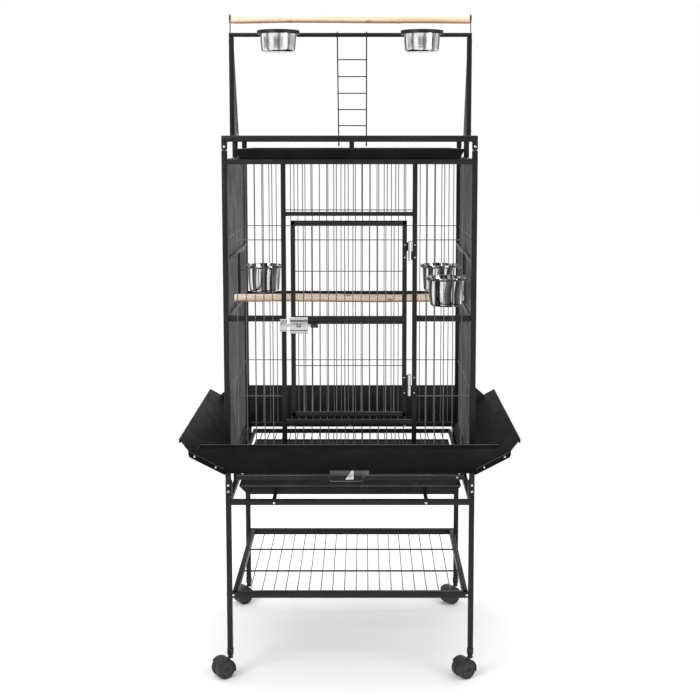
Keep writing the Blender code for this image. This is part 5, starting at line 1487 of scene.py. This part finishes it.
def guard_corner_screws():
    """Two screws and nuts through each mitre, where the guards' end flanges meet."""
    nut_profile = [(0, 0.0030), (0.0026, 0.0030), (0.0032, 0.0022), (0.0032, 0.0), (0, 0)]
    parts = []
    for turn in (0, math.pi):
        place = Matrix.Rotation(turn, 4, "Z")
        for sign in (-1, 1):
            out = Vector((-sign, -1, 0)).normalized()
            for share in (0.28, 0.86):
                spot = on_mitre(sign, GUARD_MITRE * share) + Vector((0, 0, -0.0072))
                head = screw_head((0, 0, 0), (0, 0, 1), 0.0036)
                nut = turned(nut_profile, 6)
                for piece, stand, way in ((head, spot + out * 0.0005, out), (nut, spot - out * 0.0021, -out)):
                    facing = way.to_track_quat("Z", "Y").to_matrix().to_4x4()
                    piece.matrix_world = place @ Matrix.Translation(stand) @ facing
                    take(piece)
                    parts.append(settle())
    return parts


# ------------------------------------------------------------------ casters
def wheel_profile():
    """From the outer hub cap, over the tread, to the inner face: (radius, distance from the web)."""
    wide = WHEEL_WIDE
    return [
        (0, wide - 0.0026), (0.0036, wide - 0.0024), (0.0046, wide - 0.0032), (0.0060, wide - 0.0034),
        (0.0068, wide - 0.0012), (0.0082, wide - 0.0004), (0.0165, wide - 0.0004), (0.0178, wide - 0.0016),
        (0.0188, wide - 0.0016), (0.0196, wide - 0.0002), (0.0218, wide), (0.0238, wide - 0.0009),
        (WHEEL_R - 0.0003, wide - 0.0028), (WHEEL_R, wide - 0.0055), (WHEEL_R, 0.0050),
        (WHEEL_R - 0.0004, 0.0020), (WHEEL_R - 0.0018, 0), (0, 0),
    ]


def hood(half):
    """The curved cover over both wheels: a rolled shell with a crowned back and thick edges."""
    bpy.ops.mesh.primitive_cylinder_add(
        vertices=72, radius=WHEEL_R + 0.0010, depth=2 * half, end_fill_type="NOTHING",
        location=(TRAIL, 0, WHEEL_R), rotation=(math.pi / 2, 0, 0))
    piece = settle()

    def uncovered(centre, normal):
        turn = math.degrees(math.atan2(centre.z - WHEEL_R, centre.x - TRAIL)) % 360
        return not 40 < turn < 200

    edit(piece, "FACE", uncovered)
    bpy.ops.mesh.delete(type="FACE")
    close(piece)
    thicken(piece, HOOD_WALL, 1)
    dull(piece, 0.0006, 2)
    return piece


def caster_body_parts(half):
    """Hood, web between the wheels, neck, riser and the turned stem that swivels in the leg."""
    side, boss, rim = WEB_WIDE / 2, 0.0066, WHEEL_R - 0.0042
    web = turned([
        (0.0046, -side), (boss, -side), (boss + 0.0006, 0.0012 - side), (rim - 0.0008, 0.0012 - side),
        (rim, -side), (rim + 0.0012, -side), (rim + 0.0012, side), (rim, side), (rim - 0.0008, side - 0.0012),
        (boss + 0.0006, side - 0.0012), (boss, side), (0.0046, side), (0.0046, -side),
    ], 40, (TRAIL, 0, WHEEL_R), (0, 1, 0))
    neck = bar((TRAIL - 0.022, 0.0005 - side, WHEEL_R + 0.0065),
               (TRAIL + 0.004, side - 0.0005, WHEEL_R + 0.0180), 0.0016)
    riser = bar((TRAIL - 0.020, 0.0010 - side, WHEEL_R + 0.0150),
                (TRAIL + 0.003, side - 0.0010, WHEEL_R + 0.0255), 0.0014)
    stem_low = WHEEL_R + 0.0225
    stem = turned([
        (0, stem_low), (0.0066, stem_low), (0.0072, stem_low + 0.0006), (0.0072, stem_low + 0.0040),
        (0.0062, stem_low + 0.0046), (0.0062, STEM_TOP - 0.0030), (0.0072, STEM_TOP - 0.0024),
        (0.0072, STEM_TOP - 0.0004), (0.0066, STEM_TOP), (0, STEM_TOP)], 28)
    return [hood(half), web, neck, riser, stem]


def make_casters():
    half = WEB_WIDE / 2 + GAP + WHEEL_WIDE
    body_parts = caster_body_parts(half)
    take(*body_parts)
    bpy.ops.object.join()
    body_pattern = bpy.context.object
    wheels = [turned(wheel_profile(), 48, (TRAIL, way * (WEB_WIDE / 2 + GAP), WHEEL_R), (0, way, 0))
              for way in (-1, 1)]
    end = half - 0.002
    axle = turned([(0, -end), (0.0040, -end), (0.0040, end), (0, end)], 16, (TRAIL, 0, WHEEL_R), (0, 1, 0))
    take(*wheels, axle)
    bpy.ops.object.join()
    wheel_pattern = bpy.context.object
    socket_low, socket_top = STEM_TOP + GAP, LEG_FOOT - GAP
    socket_pattern = turned([
        (0, socket_low), (0.0080, socket_low), (0.0086, socket_low + 0.0010), (0.0086, LEG_FOOT - 0.0040),
        (0.0088, LEG_FOOT - 0.0034), (0.0088, socket_top - 0.0004), (0.0084, socket_top),
        (0, socket_top)], 28)
    for corner in ("front_left", "front_right", "back_left", "back_right"):
        x = (HALF_W - TUBE / 2) * (1 if "right" in corner else -1)
        y = (BACK - TUBE / 2) * (1 if "back" in corner else -1)
        place = Matrix.Translation((x, y, 0)) @ Matrix.Rotation(math.radians(CASTER_TURN), 4, "Z")
        fit(f"caster_hood_{corner}", [copy_to(body_pattern, place)], "nylon",
            f"caster_body_{corner}", f"caster_body_{corner}")
        fit(f"caster_tyres_{corner}", [copy_to(wheel_pattern, place)], "tyre",
            f"caster_wheels_{corner}", f"caster_wheels_{corner}")
        fit(f"caster_plug_{corner}", [copy_to(socket_pattern, Matrix.Translation((x, y, 0)))], "nylon",
            "cage", f"caster_socket_{corner}")
    for pattern in (body_pattern, wheel_pattern, socket_pattern):
        bpy.data.objects.remove(pattern)


# ------------------------------------------------------------------ room, lights and camera
def make_floor():
    bpy.ops.mesh.primitive_plane_add(size=30, location=(0, 6, 0))
    floor = bpy.context.object
    floor.name = "studio_floor"
    made, tree, shader = new_finish(
        "studio_floor_paint", Roughness=0.9, Specular_IOR_Level=0.1, Emission_Color=(1, 1, 1, 1))
    place = tree.nodes.new("ShaderNodeTexCoord").outputs["Object"]
    cloud = noise(tree, place, 1.5, 3.0)
    paint = blend_colour(tree, cloud, (0.92, 0.92, 0.92, 1), (0.95, 0.95, 0.95, 1))
    reach = put(tree, "VectorMath", {0: place, 1: (0, -6, 0)}, operation="DISTANCE").outputs["Value"]
    far = ramp(tree, reach, 0.7, 2.4)
    tree.links.new(blend_colour(tree, far, paint, (0, 0, 0, 1)), shader["Base Color"])
    tree.links.new(far, shader["Emission Strength"])
    floor.data.materials.append(made)


def make_studio():
    """A white room seen directly; bright and dim panels round it for the metal to mirror."""
    scene = bpy.context.scene
    world = bpy.data.worlds.new("studio")
    scene.world = world
    world.use_nodes = True
    tree = world.node_tree
    tree.nodes.clear()
    way = tree.nodes.new("ShaderNodeTexCoord").outputs["Generated"]
    parts = put(tree, "SeparateXYZ", {0: way}).outputs
    turn = maths(tree, "ARCTAN2", parts["X"], parts["Y"])
    panels = ramp(tree, maths(tree, "SINE", maths(tree, "MULTIPLY_ADD", turn, 5.0, 0.9)), 0.1, 0.6, 0.55, 1.0)
    narrow = ramp(tree, maths(tree, "SINE", maths(tree, "MULTIPLY_ADD", turn, 9.0, 2.2)), 0.3, 0.7, 1.0, 0.5)
    banded = maths(tree, "MULTIPLY", panels, narrow)
    overhead = ramp(tree, parts["Z"], 0.45, 0.85, 0.0, 0.8)
    level = maths(tree, "MAXIMUM", banded, overhead)
    seen = tree.nodes.new("ShaderNodeLightPath").outputs
    mirrored = put(tree, "Background", {0: (1, 1, 1, 1), 1: maths(tree, "MULTIPLY", level, 1.05)})
    plain = put(tree, "Background", {0: (1, 1, 1, 1), 1: 1.0})
    choose = put(tree, "MixShader", {0: seen["Is Glossy Ray"], 1: plain.outputs[0], 2: mirrored.outputs[0]})
    out = tree.nodes.new("ShaderNodeOutputWorld")
    tree.links.new(choose.outputs[0], out.inputs["Surface"])
    scene.view_settings.view_transform = "Standard"


def soft_light(name, place, aim, size, power):
    bpy.ops.object.light_add(type="AREA", location=place)
    lamp = bpy.context.object
    lamp.name = name
    lamp.data.shape = "RECTANGLE"
    lamp.data.size, lamp.data.size_y = size
    lamp.data.energy = power
    lamp.rotation_mode = "QUATERNION"
    lamp.rotation_quaternion = (Vector(aim) - Vector(place)).to_track_quat("-Z", "Y")
    return lamp


def make_lights():
    middle = (0, 0, 0.9)
    soft_light("key_softbox", (-2.2, -2.6, 2.6), middle, (1.6, 2.0), 60)
    soft_light("fill_softbox", (2.6, -2.0, 1.6), middle, (1.2, 2.2), 26)
    soft_light("top_softbox", (0, 0.4, 3.4), middle, (2.4, 2.4), 50)


def make_camera():
    """Looks slightly down from the play top's height, with a little shift to keep the uprights true."""
    tilt = math.radians(6.5)
    bpy.ops.object.camera_add(location=(0.0365, -3.5168, 1.4002), rotation=(math.pi / 2 - tilt, 0, 0))
    camera = bpy.context.object
    camera.data.sensor_width = 36
    camera.data.lens = 65.917
    camera.data.shift_x = -0.0202
    camera.data.shift_y = -0.0905
    bpy.context.scene.camera = camera


# ------------------------------------------------------------------ assembly
def build():
    make_camera()
    make_studio()
    make_lights()
    make_floor()
    make_front_panel()
    make_back_panel()
    make_side_panel("left", -1, (1,))
    make_side_panel("right", 1, (-1, 1))
    make_roof()
    make_hinge_pins()
    make_door()
    make_latch()
    for word, (side, way) in FEEDERS.items():
        make_feeder(word, side, way)
    make_deck()
    make_crossbar()
    make_perches()
    make_ladder()
    for word, side in (("left", -1), ("right", 1)):
        make_arch_side(word, side)
        make_perch_bracket(word, side)
        make_top_ring(word)
        make_runner(word)
        make_side_rail(word, side)
    make_guards()
    make_tray("debris_tray", 0.018, 0.033, 0.004)
    make_tray("top_tray", 0.012, 0.006, 0.003)
    make_grate()
    make_grate_pull()
    make_grate_latch()
    make_leg_frame("front", FRONT, 1)
    make_leg_frame("back", BACK, -1)
    make_shelf()
    make_casters()
    make_screws()


build()
